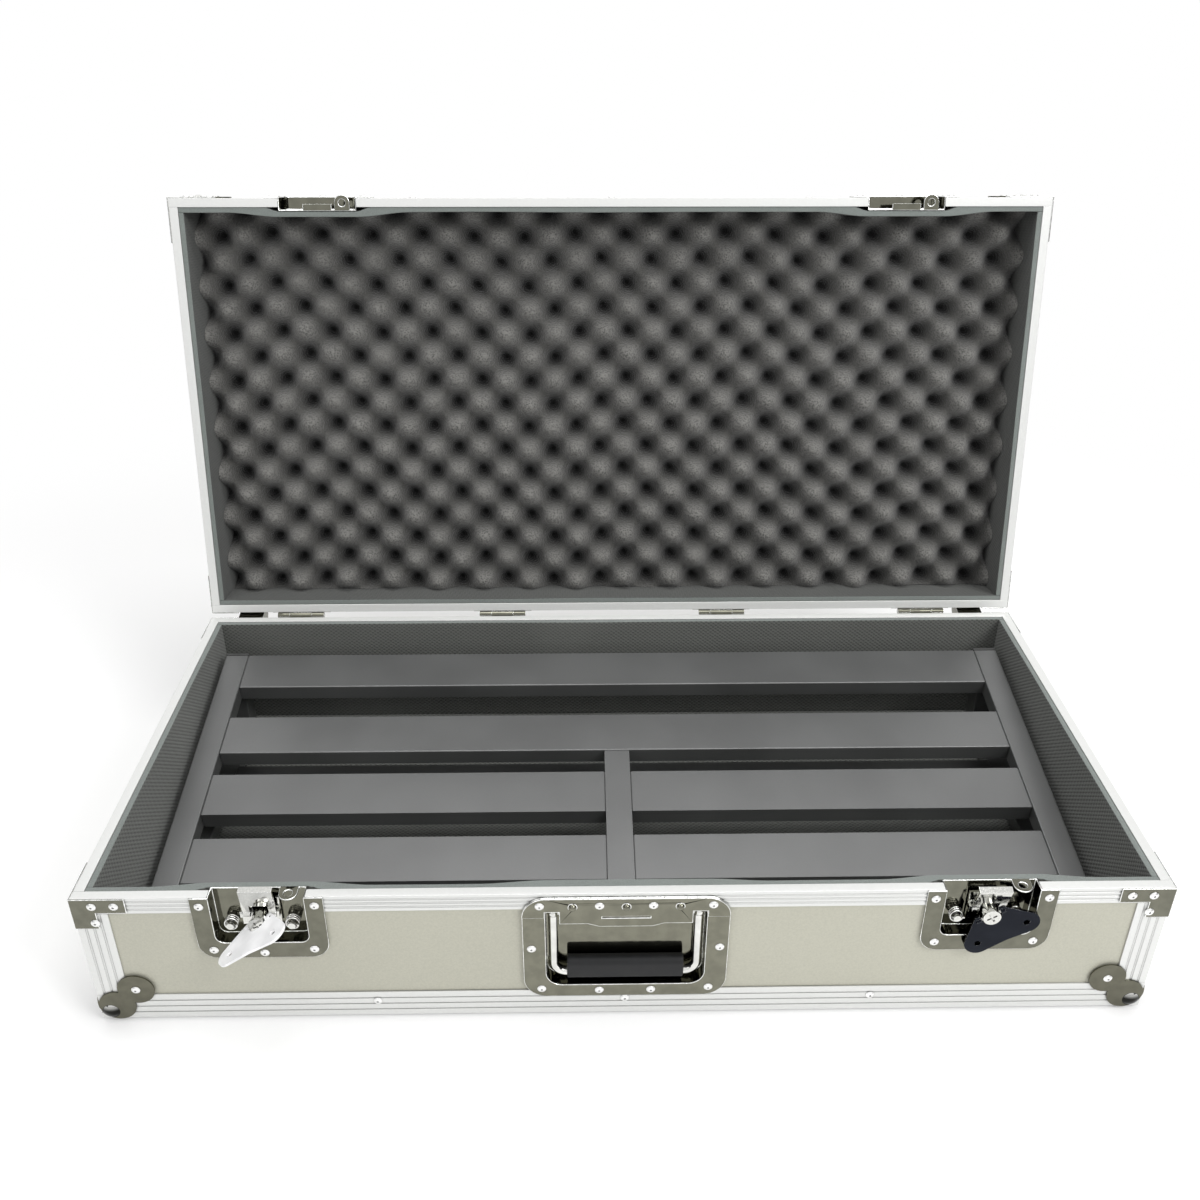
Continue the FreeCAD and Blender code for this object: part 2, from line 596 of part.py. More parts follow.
def ball_corner(prefix, far, down, case_block):
    """A ball and a petal plate on each of the three faces, all outside the case."""
    centre = ball_radius - ball_drop
    ball = doc.addObject("Part::Sphere", f"{prefix}_ball")
    ball.setExpression("Radius", ball_radius.formula)
    place(ball, outer_x - centre, -outer_y + centre, far - centre * down)
    spots = [(outer_x - spot, -outer_y + spot, far - spot * down) for spot in (petal_place, petal_root)]
    plates = {
        "front": [("y", -outer_y - gauge, -outer_y, x, z) for x, y, z in spots],
        "side": [("x", outer_x, outer_x + gauge, y, z) for x, y, z in spots],
        "far": [("z", far, far + gauge * down, x, y) for x, y, z in spots],
    }
    worn = block(f"{prefix}_ball_worn", (outer_x - ball_radius * 2, outer_x + ball_radius),
                 (-outer_y - ball_radius, -outer_y + ball_radius * 2),
                 (far + (ball_drop - ball_flat) * down, far + ball_radius * down))
    pieces = [cut(f"{prefix}_ball_trimmed", ball, case_block, worn)]
    for word, runs in plates.items():
        discs = [rod(f"{prefix}_petal_{word}_{index}", petal_radius, *run)
                 for index, run in enumerate(runs)]
        blank = joined(f"{prefix}_petal_{word}_blank", *discs)
        pieces.append(cut(f"{prefix}_petal_{word}", blank, ball))
    return gathered(f"{prefix}_ball_corner", *pieces)


# Rivets
def rivet_head():
    """The head of one pop rivet, standing on the XY plane."""
    radius, height, edge = float(rivet_radius), float(rivet_height), float(rivet_edge)
    hole, depth = float(rivet_hole), float(rivet_hole_depth)
    crown = Part.Arc(Vector(radius, 0, edge), Vector(radius * 0.72, 0, edge + (height - edge) * 0.68),
                     Vector(hole, 0, height))
    corners = [Vector(hole, 0, height), Vector(hole, 0, height - depth), Vector(0, 0, height - depth),
               Vector(0, 0, 0), Vector(radius, 0, 0), Vector(radius, 0, edge)]
    edges = [crown.toShape()]
    edges += [Part.LineSegment(a, b).toShape() for a, b in zip(corners, corners[1:])]
    face = Part.Face(Part.Wire(Part.__sortEdges__(edges)))
    return face.revolve(Vector(0, 0, 0), Vector(0, 0, 1), 360)


def rivet_group(name, places):
    """One node of rivets. places holds x, y, z and the way each head faces."""
    head = rivet_head()
    solids = []
    for x, y, z, facing in places:
        copy = head.copy()
        copy.Placement = FreeCAD.Placement(Vector(float(x), float(y), float(z)),
                                           FreeCAD.Rotation(Vector(0, 0, 1), facing))
        solids.append(copy)
    group = doc.addObject("Part::Feature", name)
    group.Shape = Part.makeCompound(solids)
    return group


def shell_rivets(rim, far, down):
    """Places of the rivets that both halves have: braces, ball corners and the long strips."""
    places = []
    for side in (-1, 1):
        for end in (-1, 1):
            front_way, side_way = Vector(0, end, 0), Vector(side, 0, 0)
            for along, drop in ((rivet_step, rivet_inset), (rivet_step * 2, rivet_inset),
                                (rivet_step, rivet_inset + rivet_step)):
                z = rim + (brace_lift + drop) * down
                if end < 0 or float(along) == float(rivet_step):
                    places.append(((outer_x + gauge - along) * side, (outer_y + gauge) * end, z, front_way))
                places.append(((outer_x + gauge) * side, (outer_y + gauge - along) * end, z, side_way))
            x, y = (outer_x - petal_place) * side, (outer_y - petal_place) * end
            z = far - petal_place * down
            places.append((x, (outer_y + gauge) * end, z, front_way))
            places.append(((outer_x + gauge) * side, y, z, side_way))
            places.append((x, y, far + gauge * down, Vector(0, 0, float(down))))
    middle = far - strip_leg * 0.62 * down
    for end in (-1, 1):
        for step in (-1, 0, 1):
            places.append((strip_rivets * step, outer_y * end, middle, Vector(0, end, 0)))
        places.append((outer_x * end, ZERO, middle, Vector(end, 0, 0)))
    return places


def dish_rivets(rim, down, drop):
    """Places of the five rivets of each latch flange."""
    front = -outer_y - gauge
    places = []
    for side in (-1, 1):
        middle = latch_place * side
        high, low = rim + rivet_inset * 1.2 * down, rim + (drop - rivet_inset * 1.3) * down
        for across, z in ((-1, high), (1, high), (-1, low), (1, low)):
            inset = rivet_inset if z is high else rivet_inset * 1.7
            places.append((middle + (dish_half - inset) * across, front, z, Vector(0, -1, 0)))
        places.append((middle, front, rim + (drop - rivet_inset * 0.8) * down, Vector(0, -1, 0)))
    return places


def handle_rivets():
    """Places of the ten rivets of the handle flange."""
    front = -outer_y - gauge
    middle_drop = (handle_top + handle_foot) / 2
    rows = ((handle_half - handle_round * 0.75, handle_top + rivet_inset),
            (dome_step / 2, handle_top + rivet_inset),
            (handle_half - rivet_inset, middle_drop),
            (handle_half - handle_round * 0.75, handle_foot - rivet_inset * 1.3),
            (dome_step / 2, handle_foot - rivet_inset))
    return [(across * side, front - (bracket_thick if index < 2 else ZERO), rim_z - drop, Vector(0, -1, 0))
            for index, (across, drop) in enumerate(rows) for side in (-1, 1)]


def hinge_rivets(way):
    """Places of the three rivets of each hinge leaf, on the base for -1 and on the lid for 1."""
    places = []
    for side in (-1, 1):
        for middle in (hinge_inner, hinge_outer):
            for step, share in ((-1, 0.5), (0, 0.72), (1, 0.5)):
                places.append((middle * side + leaf_half * 0.68 * step, outer_y + skin,
                               hinge_z + leaf_height * share * way, Vector(0, 1, 0)))
    return places


# Latches
def dish(name, side, rim, down, swing):
    """Half of a latch dish: a flange on the face, an open recess behind it and a padlock tab."""
    middle = latch_place * side
    shut = float(down) < 0
    reach, drop = (dish_drop, tray_drop) if shut else (keeper_rise, keeper_tray)
    edge = rim + rim_gap / 2 * down if shut else rim
    flange = outline_body(f"{name}_flange", "XZ",
                          rectangle((middle - dish_half, middle + dish_half), (edge, rim + reach * down)),
                          outer_y - skin, skin + gauge, ((2, 3), dish_round))
    joggle = block(f"{name}_joggle", (middle - dish_half - overrun, middle + dish_half + overrun),
                   (-outer_y, -outer_y + skin * 2), (rim - overrun * down, rim + band * down))
    tray = outline_body(f"{name}_tray", "XZ",
                        rectangle((middle - tray_half - gauge, middle + tray_half + gauge),
                                  (edge, rim + (drop + gauge) * down)),
                        outer_y - tray_depth, tray_depth, ((2, 3), tray_round + gauge))
    hollow = outline_body(f"{name}_hollow", "XZ",
                          rectangle((middle - tray_half, middle + tray_half),
                                    (rim - overrun * down, rim + drop * down)),
                          outer_y - tray_depth + gauge, tray_depth + overrun * 2, ((2, 3), tray_round))
    plate = joined(f"{name}_plate", cut(f"{name}_joggled", flange, joggle), tray)
    pieces = [cut(f"{name}_hollowed", plate, hollow)]

    # Padlock tab: a round-nosed plate at the rim, from the back of the recess out past the face
    tab_x = middle + tab_place
    nose = -outer_y - tab_reach + tab_radius
    tab_z = (edge, edge + gauge * down)
    lock = rod(f"{name}_lock_hole", tab_hole, "z", edge - overrun * down, edge + (gauge + overrun) * down,
               tab_x, nose)
    tab = joined(f"{name}_tab", rod(f"{name}_tab_nose", tab_radius, "z", *tab_z, tab_x, nose),
                 block(f"{name}_tab_root", (tab_x - tab_radius, tab_x + tab_radius),
                       (nose, -outer_y + tray_depth - gauge / 2), tab_z))
    pieces.append(cut(f"{name}_drilled_tab", tab, lock))
    if not shut:
        pieces.append(block(f"{name}_keeper", (middle - keeper_half, middle + keeper_half),
                            (-outer_y + keeper_back, -outer_y + tray_depth - gauge / 2), tab_z))
    keep(swing(joined(f"{name}_whole", *pieces)), name)


def latch(side, turn, flip, lean):
    """Cam, leaf, slider and hook of one latch, as they stand in the photograph."""
    word = "left" if side < 0 else "right"
    middle = latch_place * side
    hub_z = rim_z - hub_drop
    rise = hook_travel * Size(f"abs({turn.formula})", abs(float(turn))) / 180
    tray_back = -outer_y + tray_depth - gauge

    # Cam: a shaft on the recess's back, a slotted head and a cross pin. Modelled on the Y axis.
    shaft = rod(f"cam_shaft_{word}", shaft_radius, "y", outer_y + tray_back - fit_gap, -head_front,
                ZERO, ZERO)
    head = rod(f"cam_head_{word}", head_radius, "y", -head_front, -head_front + head_thick, ZERO, ZERO)
    pin = rod(f"cam_pin_{word}", cross_pin, "x", -leaf_ear, leaf_ear, -pin_front, ZERO)
    slots = [block(f"cam_slot_{word}_{index}", *spans) for index, spans in enumerate((
        ((-head_radius * 0.6, head_radius * 0.6), (-head_front - overrun, -head_front + slot_deep),
         (-slot_wide / 2, slot_wide / 2)),
        ((-slot_wide / 2, slot_wide / 2), (-head_front - overrun, -head_front + slot_deep),
         (-head_radius * 0.6, head_radius * 0.6))))]
    cam = cut(f"cam_slotted_{word}", joined(f"cam_{word}", shaft, head, pin), *slots)
    cam.Placement.Rotation = FreeCAD.Rotation(Vector(0, -1, 0), float(turn))
    cam.setExpression("Placement.Rotation.Angle", turn.formula)
    place(cam, middle, -outer_y, hub_z)
    keep(cam, f"latch_cam_{word}")

    # Leaf: two lobes joined by a plate, with ears round the cross pin. Modelled flat, hanging from the pin.
    front, back = -leaf_thick / 2, leaf_thick / 2
    lobes = [rod(f"lobe_{word}_{index}", lobe_radius, "y", front, back, lobe_place * way, -lobe_drop)
             for index, way in enumerate((-1, 1))]
    waist = lobe_radius * 0.86
    web = outline_body(f"leaf_web_{word}", "XZ",
                       [(-leaf_ear, leaf_back), (leaf_ear, leaf_back),
                        (lobe_place + lobe_radius * 0.75, -lobe_drop + lobe_radius * 0.66),
                        (lobe_place, -lobe_drop - lobe_radius), (ZERO, -lobe_drop - waist),
                        (-lobe_place, -lobe_drop - lobe_radius),
                        (-lobe_place - lobe_radius * 0.75, -lobe_drop + lobe_radius * 0.66)],
                       -leaf_thick / 2, leaf_thick)
    ears = [rod(f"leaf_ear_{word}_{index}", ear_radius, "x", notch_radius * way, leaf_ear * way, ZERO, ZERO)
            for index, way in enumerate((-1, 1))]
    notch = rod(f"leaf_notch_{word}", notch_radius, "y", -leaf_thick * 2, leaf_thick * 2, ZERO, ZERO)
    notch_up = block(f"leaf_notch_up_{word}", (-notch_radius, notch_radius),
                     (-leaf_thick * 2, leaf_thick * 2), (ZERO, leaf_back + overrun))
    holes = [rod(f"lobe_hole_{word}_{index}", lobe_hole, "y", -leaf_thick, leaf_thick,
                 lobe_place * way, -lobe_drop) for index, way in enumerate((-1, 1))]
    bore = rod(f"leaf_bore_{word}", cross_pin + pin_gap, "x", -leaf_ear - overrun, leaf_ear + overrun,
               ZERO, ZERO)
    leaf = cut(f"leaf_{word}", joined(f"leaf_blank_{word}", *lobes, web, *ears),
               notch, notch_up, *holes, bore)
    flipped = gathered(f"leaf_flipped_{word}", leaf)
    flipped.Placement.Rotation = FreeCAD.Rotation(Vector(-1, 0, 0), float(flip))
    flipped.setExpression("Placement.Rotation.Angle", flip.formula)
    flipped.setExpression("Placement.Base.y", (-pin_front).formula)
    turned = gathered(f"leaf_turned_{word}", flipped)
    turned.Placement.Rotation = FreeCAD.Rotation(Vector(0, -1, 0), float(turn))
    turned.setExpression("Placement.Rotation.Angle", turn.formula)
    place(turned, middle, -outer_y, hub_z)
    keep(turned, f"latch_leaf_{word}")

    # Slider: a plate with a window round the cam shaft and two lugs that carry the hook's pivot pins
    slide = rim_z + rise
    window = (slide - hub_drop + shaft_radius + fit_gap,
              slide - hub_drop - shaft_radius - hook_travel - fit_gap)
    plate_half = hook_half + lug_thick + fit_gap
    plate = block(f"slider_plate_{word}", (middle - plate_half, middle + plate_half),
                  (-outer_y + slider_back, -outer_y + slider_back + slider_thick),
                  (slide - slider_foot, slide - slider_top))
    hole = block(f"slider_window_{word}", (middle - shaft_radius - fit_gap, middle + shaft_radius + fit_gap),
                 (-outer_y + slider_back - overrun, -outer_y + slider_back + slider_thick + overrun), window)
    pieces = [cut(f"slider_frame_{word}", plate, hole)]
    pivot_z = slide - pivot_drop
    for index, way in enumerate((-1, 1)):
        inner, outer = hook_half + fit_gap, hook_half + fit_gap + lug_thick
        pieces.append(block(f"slider_lug_{word}_{index}", (middle + inner * way, middle + outer * way),
                            (-outer_y + hook_back - lug_half / 2, -outer_y + slider_back + slider_thick),
                            (pivot_z - lug_half, pivot_z + lug_half)))
        pieces.append(rod(f"slider_pin_{word}_{index}", pivot_radius, "x",
                          middle + (fork_half + fit_gap) * way, middle + outer * way,
                          -outer_y + hook_back, pivot_z))
    keep(joined(f"slider_{word}", *pieces), f"latch_slider_{word}")

    # Hook: a forked plate with a lip at its top, modelled upright on its pivot axis
    half = hook_thick / 2
    plate = block(f"hook_plate_{word}", (-hook_half, hook_half), (-half, half),
                  (-boss_radius, lip_rise + lip_thick))
    lip = block(f"hook_lip_{word}", (-hook_half, hook_half), (-half, half + lip_reach),
                (lip_rise, lip_rise + lip_thick))
    boss = rod(f"hook_boss_{word}", boss_radius, "x", -hook_half, hook_half, ZERO, ZERO)
    fork = block(f"hook_fork_{word}", (-fork_half, fork_half),
                 (-boss_radius - overrun, boss_radius + overrun),
                 (-boss_radius - overrun, fork_top))
    pin_hole = rod(f"hook_hole_{word}", pivot_radius + pin_gap, "x", -hook_half - overrun,
                   hook_half + overrun, ZERO, ZERO)
    hook = cut(f"hook_{word}", joined(f"hook_blank_{word}", plate, lip, boss), fork, pin_hole)
    hook.Placement.Rotation = FreeCAD.Rotation(Vector(1, 0, 0), float(lean))
    hook.setExpression("Placement.Rotation.Angle", lean.formula)
    place(hook, middle, -outer_y + hook_back, pivot_z)
    keep(hook, f"latch_hook_{word}")


# Coil springs
def biarc(start, start_way, end, end_way):
    """Two arcs that leave start along start_way and reach end along end_way."""
    chord, ways = end - start, start_way + end_way
    spread = 2 * (1 - start_way.dot(end_way))
    along = chord.dot(ways)
    reach = (-along + math.sqrt(along * along + spread * chord.dot(chord))) / spread
    first, last = start + start_way * reach, end - end_way * reach
    meet = (first + last) * 0.5
    edges = []
    for a, knee, b in ((start, first, meet), (meet, last, end)):
        middle = (a + b) * 0.5
        half, height = (b - a).Length / 2, (knee - middle).Length
        rise = half * math.tan(math.atan2(height, half) / 2)
        edges.append(Part.Arc(a, middle + (knee - middle).normalize() * rise, b).toShape())
    return edges


def coil(radius, wire, length, quarters):
    """A coil spring along Z from 0 to length, its ends turned to run straight along Z."""
    radius, wire, length, quarters = float(radius), float(wire), float(length), int(float(quarters))
    lead = wire * 2
    climb = (length - 2 * lead) / quarters

    def on_helix(quarter):
        angle = math.pi / 2 * quarter
        spot = Vector(radius * math.cos(angle), radius * math.sin(angle), lead + climb * quarter)
        way = Vector(-math.sin(angle), math.cos(angle), climb / (radius * math.pi / 2))
        return spot, way.normalize()

    up = Vector(0, 0, 1)
    first, first_way = on_helix(0)
    last, last_way = on_helix(quarters)
    low = first - first_way * wire * 0.8 - up * wire * 0.8
    high = last + last_way * wire * 0.8 + up * wire * 0.8
    edges = [Part.LineSegment(Vector(low.x, low.y, 0), low).toShape()] + biarc(low, up, first, first_way)
    for quarter in range(quarters):
        edges += biarc(*on_helix(quarter), *on_helix(quarter + 1))
    edges += biarc(last, last_way, high, up)
    edges.append(Part.LineSegment(high, Vector(high.x, high.y, length)).toShape())
    path = Part.Wire(edges)
    section = Part.Wire(Part.makeCircle(wire / 2, Vector(low.x, low.y, 0), up))
    solid = path.makePipeShell([section], True, False)
    report_coil(path, solid, wire, radius)
    return solid


def report_coil(path, solid, wire, radius):
    """Print the least gap between turns, from points along the path, and the tube's share of its volume."""
    count = int(path.Length / wire * 4)
    points = path.discretize(Number=count)
    step = path.Length / (count - 1)
    skip = int(math.pi * radius / step)
    least = min((a - b).Length for index, a in enumerate(points) for b in points[index + skip:])
    share = solid.Volume / (path.Length * math.pi * (wire / 2) ** 2)
    print(f"spring of {wire} mm wire: least gap to itself {least - wire:.2f}, volume share {share:.3f}")


def coil_group(name, wire, places):
    """One node of equal coils; places holds each one's start and the way it runs."""
    solids = []
    for spring, spot, way in places:
        copy = spring.copy()
        copy.Placement = FreeCAD.Placement(Vector(*[float(part) for part in spot]),
                                           FreeCAD.Rotation(Vector(0, 0, 1), way))
        solids.append(copy)
    group = doc.addObject("Part::Feature", name)
    group.Shape = Part.makeCompound(solids)
    return keep(group, name)


def latch_springs():
    """Two springs and their posts on the back of each base dish."""
    back = -outer_y + tray_depth - gauge
    spring = coil(spring_radius, spring_wire, tray_depth - gauge, spring_quarters)
    places, posts = [], []
    for side in (-1, 1):
        for way in (-1, 1):
            x, z = latch_place * side + spring_place * way, rim_z - spring_drop
            places.append((spring, (x, back, z), Vector(0, -1, 0)))
            tag = f"{len(posts)}"
            posts.append(joined(f"spring_post_{tag}",
                                rod(f"post_shank_{tag}", post_radius, "y", back, -outer_y + gauge, x, z),
                                rod(f"post_head_{tag}", post_head, "y", -outer_y, -outer_y + gauge, x, z)))
    coil_group("latch_springs", spring_wire, places)
    keep(gathered("posts", *posts), "latch_spring_posts")


# Handle
def handle():
    """Recessed handle: dish, pivot bracket, bail, grip and the springs round the bail's stub axles."""
    top, foot = rim_z - handle_top, rim_z - handle_foot
    flange = outline_body("handle_flange", "XZ", rectangle((-handle_half, handle_half), (foot, top)),
                          outer_y - skin, skin + gauge, ((0, 1, 2, 3), handle_round))
    joggle = block("handle_joggle", (-handle_half - overrun, handle_half + overrun),
                   (-outer_y, -outer_y + skin * 2), (rim_z, rim_z - band))
    lower = block("handle_joggle_low", (-handle_half - overrun, handle_half + overrun),
                  (-outer_y, -outer_y + skin * 2), (bottom_z, bottom_z + strip_leg))
    well = outline_body("handle_well", "XZ",
                        rectangle((-well_half - gauge, well_half + gauge),
                                  (rim_z - well_foot - gauge, rim_z - well_top + gauge)),
                        outer_y - well_depth - gauge, well_depth + gauge,
                        ((0, 1), well_round + gauge), ((2, 3), well_round_top + gauge))
    hollow = outline_body("handle_hollow", "XZ",
                          rectangle((-well_half, well_half), (rim_z - well_foot, rim_z - well_top)),
                          outer_y - well_depth, well_depth + overrun * 2,
                          ((0, 1), well_round), ((2, 3), well_round_top))
    plate = joined("handle_plate", cut("handle_joggled", flange, joggle, lower), well)
    keep(cut("handle_dished", plate, hollow), "handle_dish")

    axis_y, axis_z = -outer_y + bail_back, rim_z - bail_axis
    cheek_in = bracket_half - bracket_thick
    notch_out = bail_half + knuckle_radius + ball_clearance
    half_outline = [(bracket_middle, bracket_middle_foot), (bracket_middle + bracket_shoulder, bracket_foot),
                    (bracket_half, bracket_foot), (bracket_half, bracket_notch), (notch_out, bracket_notch),
                    (notch_out, bracket_wing_foot), (handle_half, bracket_wing_foot),
                    (handle_half, handle_top)]
    right = [(across, rim_z - drop) for across, drop in half_outline]
    left = [(-across, z) for across, z in reversed(right)]
    front = outline_body("bracket_front", "XZ", right + left, outer_y + gauge, bracket_thick,
                         ((7, 8), handle_round))
    slot = block("bracket_slot", (-bracket_slot, bracket_slot),
                 (-outer_y - gauge - bracket_thick - overrun, -outer_y - gauge + overrun),
                 (axis_z, axis_z + bracket_thick))
    cheeks = []
    for index, way in enumerate((-1, 1)):
        cheek = block(f"cheek_{index}", (cheek_in * way, bracket_half * way),
                      (-outer_y - gauge, -outer_y + well_depth),
                      (rim_z - well_top - fit_gap, rim_z - bracket_foot))
        bore = rod(f"cheek_bore_{index}", stub_radius + pin_gap, "x", (cheek_in - overrun) * way,
                   (bracket_half + overrun) * way, axis_y, axis_z)
        cheeks.append(cut(f"cheek_bored_{index}", cheek, bore))
    domes = []
    for index, step in enumerate((-1, 0, 1)):
        dome = doc.addObject("Part::Sphere", f"dome_{index}")
        dome.setExpression("Radius", (rivet_radius * 0.9).formula)
        place(dome, dome_step * step, -outer_y - gauge - bracket_thick, rim_z - dome_drop)
        domes.append(dome)
    behind = block("dome_behind", (-bracket_half, bracket_half),
                   (-outer_y - gauge, -outer_y + rivet_radius * 2),
                   (rim_z, rim_z - well_top - fit_gap))
    bracket = cut("bracket_front_slotted", joined("bracket_domed", front, *domes), slot, behind)
    keep(joined("bracket", bracket, *cheeks), "handle_pivot_bracket")

    # Bail: two uprights, a lower rod, bends between them, and a ball and a stub axle at each end
    foot_z, bend = rim_z - bail_foot, bail_bend
    pieces = [rod("bail_lower", bail_radius, "x", -bail_half + bend, bail_half - bend, axis_y, foot_z)]
    for index, way in enumerate((-1, 1)):
        pieces.append(rod(f"bail_upright_{index}", bail_radius, "z", axis_z, foot_z + bend,
                          bail_half * way, axis_y))
        corner = doc.addObject("Part::Torus", f"bail_bend_{index}")
        corner.setExpression("Radius1", bend.formula)
        corner.setExpression("Radius2", bail_radius.formula)
        corner.Angle3 = 90
        corner.Placement.Rotation = FreeCAD.Rotation(Vector(1, 0, 0), -90)
        if way < 0:
            quarter = FreeCAD.Rotation(Vector(0, 1, 0), 90)
            corner.Placement.Rotation = quarter.multiply(corner.Placement.Rotation)
        place(corner, (bail_half - bend) * way, axis_y, foot_z + bend)
        ball = doc.addObject("Part::Sphere", f"bail_ball_{index}")
        ball.setExpression("Radius", knuckle_radius.formula)
        place(ball, bail_half * way, axis_y, axis_z)
        pieces += [corner, ball,
                   rod(f"bail_stub_{index}", stub_radius, "x", stub_end * way, bail_half * way,
                       axis_y, axis_z)]
    keep(joined("bail", *pieces), "handle_bail")

    # Grip: an oblong rubber sleeve moulded round the lower rod
    low = rod("grip_low", grip_radius, "x", -grip_half, grip_half, axis_y, foot_z)
    high = rod("grip_high", grip_radius, "x", -grip_half, grip_half, axis_y, foot_z + grip_rise)
    core = block("grip_core", (-grip_half, grip_half), (axis_y - grip_radius, axis_y + grip_radius),
                 (foot_z, foot_z + grip_rise))
    bore = rod("grip_bore", bail_radius, "x", -grip_half - overrun, grip_half + overrun, axis_y, foot_z)
    keep(cut("grip_bored", joined("grip_sleeve", low, high, core), bore), "handle_grip")

    spring = coil(coil_radius, coil_wire, cheek_in - stub_end, coil_quarters)
    coil_group("handle_springs", coil_wire,
               [(spring, (cheek_in * way, axis_y, axis_z), Vector(-way, 0, 0)) for way in (-1, 1)])


# Hinges and lid stops
def hinges():
    """Four butt hinges on the rear face: base leaves, lid leaves and pins."""
    base_leaves, lid_leaves, pins = [], [], []
    for index, middle in enumerate((-hinge_outer, -hinge_inner, hinge_inner, hinge_outer)):
        bore = rod(f"hinge_bore_{index}", hinge_pin + pin_gap, "x", middle - barrel_half - overrun,
                   middle + barrel_half + overrun, hinge_y, hinge_z)
        spans = {"base": [(-barrel_half, -barrel_mid - fit_gap), (barrel_mid + fit_gap, barrel_half)],
                 "lid": [(-barrel_mid, barrel_mid)]}
        for word, down, leaves in (("base", -1, base_leaves), ("lid", 1, lid_leaves)):
            clear = hinge_z + (knuckle + fit_gap) * down
            pieces = [block(f"{word}_leaf_{index}", (middle - leaf_half, middle + leaf_half),
                            (outer_y, outer_y + skin), (clear, hinge_z + leaf_height * down))]
            for part, (low, high) in enumerate(spans[word]):
                span = (middle + low, middle + high)
                pieces.append(block(f"{word}_neck_{index}_{part}", span, (outer_y + fit_gap, outer_y + skin),
                                    (clear, hinge_z)))
                pieces.append(rod(f"{word}_knuckle_{index}_{part}", knuckle, "x", *span, hinge_y, hinge_z))
            leaves.append(cut(f"{word}_hinge_{index}", joined(f"{word}_hinge_blank_{index}", *pieces), bore))
        pins.append(rod(f"hinge_pin_{index}", hinge_pin, "x", middle - barrel_half, middle + barrel_half,
                        hinge_y, hinge_z))
    keep(gathered("base_leaves", *base_leaves), "base_hinge_leaves")
    keep(opened(gathered("lid_leaves", *lid_leaves)), "lid_hinge_leaves")
    keep(gathered("pins", *pins), "hinge_pins")


def lid_stops():
    """Brackets on the base's rear face, and the strike plates on the lid that come down on them."""
    # The open lid's rear face, as a line across Y and Z, lowered by the strike plate and a small gap
    out_y, out_z = sine(open_angle), cosine(open_angle)
    drop = skin + fit_gap
    start_y = hinge_y - hinge_out * cosine(open_angle) * -1
    start_z = hinge_z + hinge_out * sine(open_angle)

    def top_at(reach):
        """Height of the bracket's top this far behind the rear face."""
        run = (outer_y + reach - start_y) / out_y
        return start_z + run * out_z - drop / out_y

    lead = hinge_out + strike_start
    corners = [(outer_y, rim_z - stop_height), (outer_y + skin, rim_z - stop_height),
               (outer_y + stop_reach, top_at(stop_reach) - stop_half / 2),
               (outer_y + stop_reach, top_at(stop_reach)), (outer_y + lead, top_at(lead)),
               (outer_y + skin, top_at(lead) - skin), (outer_y, top_at(lead) - skin)]
    bracket = outline_body("stop_bracket", "YZ", corners, stop_place - stop_half, stop_half * 2)
    keep(both_sides("stop_brackets", bracket), "lid_stop_brackets")
    strike = block("strike", (stop_place - stop_half, stop_place + stop_half), (outer_y, outer_y + skin),
                   (lid_rim_z + strike_start, lid_rim_z + strike_end))
    keep(opened(both_sides("strikes", strike)), "lid_stop_plates")


# Convoluted foam: two sets of slanting folds, which meet in peaks, hollows and saddles between them
def foam_point(first, second, ceiling):
    """A crossing of the two sets of folds: a peak if both are odd, a hollow if both are even."""
    level = foam_hollow + (foam_height - foam_hollow) * ((first % 2 + second % 2) / 2)
    return Vector(float(foam_shift_x + foam_wide * ((first + second) / 4)),
                  float(foam_shift_y + foam_deep * ((first - second) / 4)), float(ceiling - level))


def folded_foam(half_x, half_y, ceiling):
    """The folded face over a rectangle, closed by upright walls and a flat back at the ceiling."""
    def reaches(corners):
        """Whether a rhombus between four crossings lies over the rectangle."""
        across = [corner.x for corner in corners]
        deep = [corner.y for corner in corners]
        return (min(across) < float(half_x) and max(across) > -float(half_x)
                and min(deep) < float(half_y) and max(deep) > -float(half_y))

    reach = 2 * float(half_x) / float(foam_wide) + 2 * float(half_y) / float(foam_deep)
    turns = range(-math.ceil(reach) - 4, math.ceil(reach) + 5)
    steps = ((0, 0), (1, 0), (1, 1), (0, 1))
    faces, sides = [], {}
    for first in turns:
        for second in turns:
            crossings = [(first + one, second + other) for one, other in steps]
            corners = [foam_point(*crossing, ceiling) for crossing in crossings]
            if not reaches(corners):
                continue
            faces.append(Part.Face(Part.makePolygon(corners + corners[:1])))
            for index, start in enumerate(crossings):
                end = crossings[(index + 1) % len(crossings)]
                if (end, start) in sides:
                    del sides[end, start]
                else:
                    sides[start, end] = (corners[index], corners[(index + 1) % len(corners)])
    after = dict(sides.keys())
    start = next(iter(after))
    rim = [start]
    while after[rim[-1]] != start:
        rim.append(after[rim[-1]])
    back = []
    for crossing in rim:
        low, high = sides[crossing, after[crossing]]
        raised = [Vector(corner.x, corner.y, float(ceiling)) for corner in (high, low)]
        faces.append(Part.Face(Part.makePolygon([low, high, *raised, low])))
        back.append(raised[1])
    faces.append(Part.Face(Part.makePolygon(back + back[:1])))
    skin_shell = Part.Shell(faces)
    skin_shell.sewShape()
    form = doc.addObject("Part::Feature", "folded_foam")
    form.Shape = Part.Solid(skin_shell)
    return form


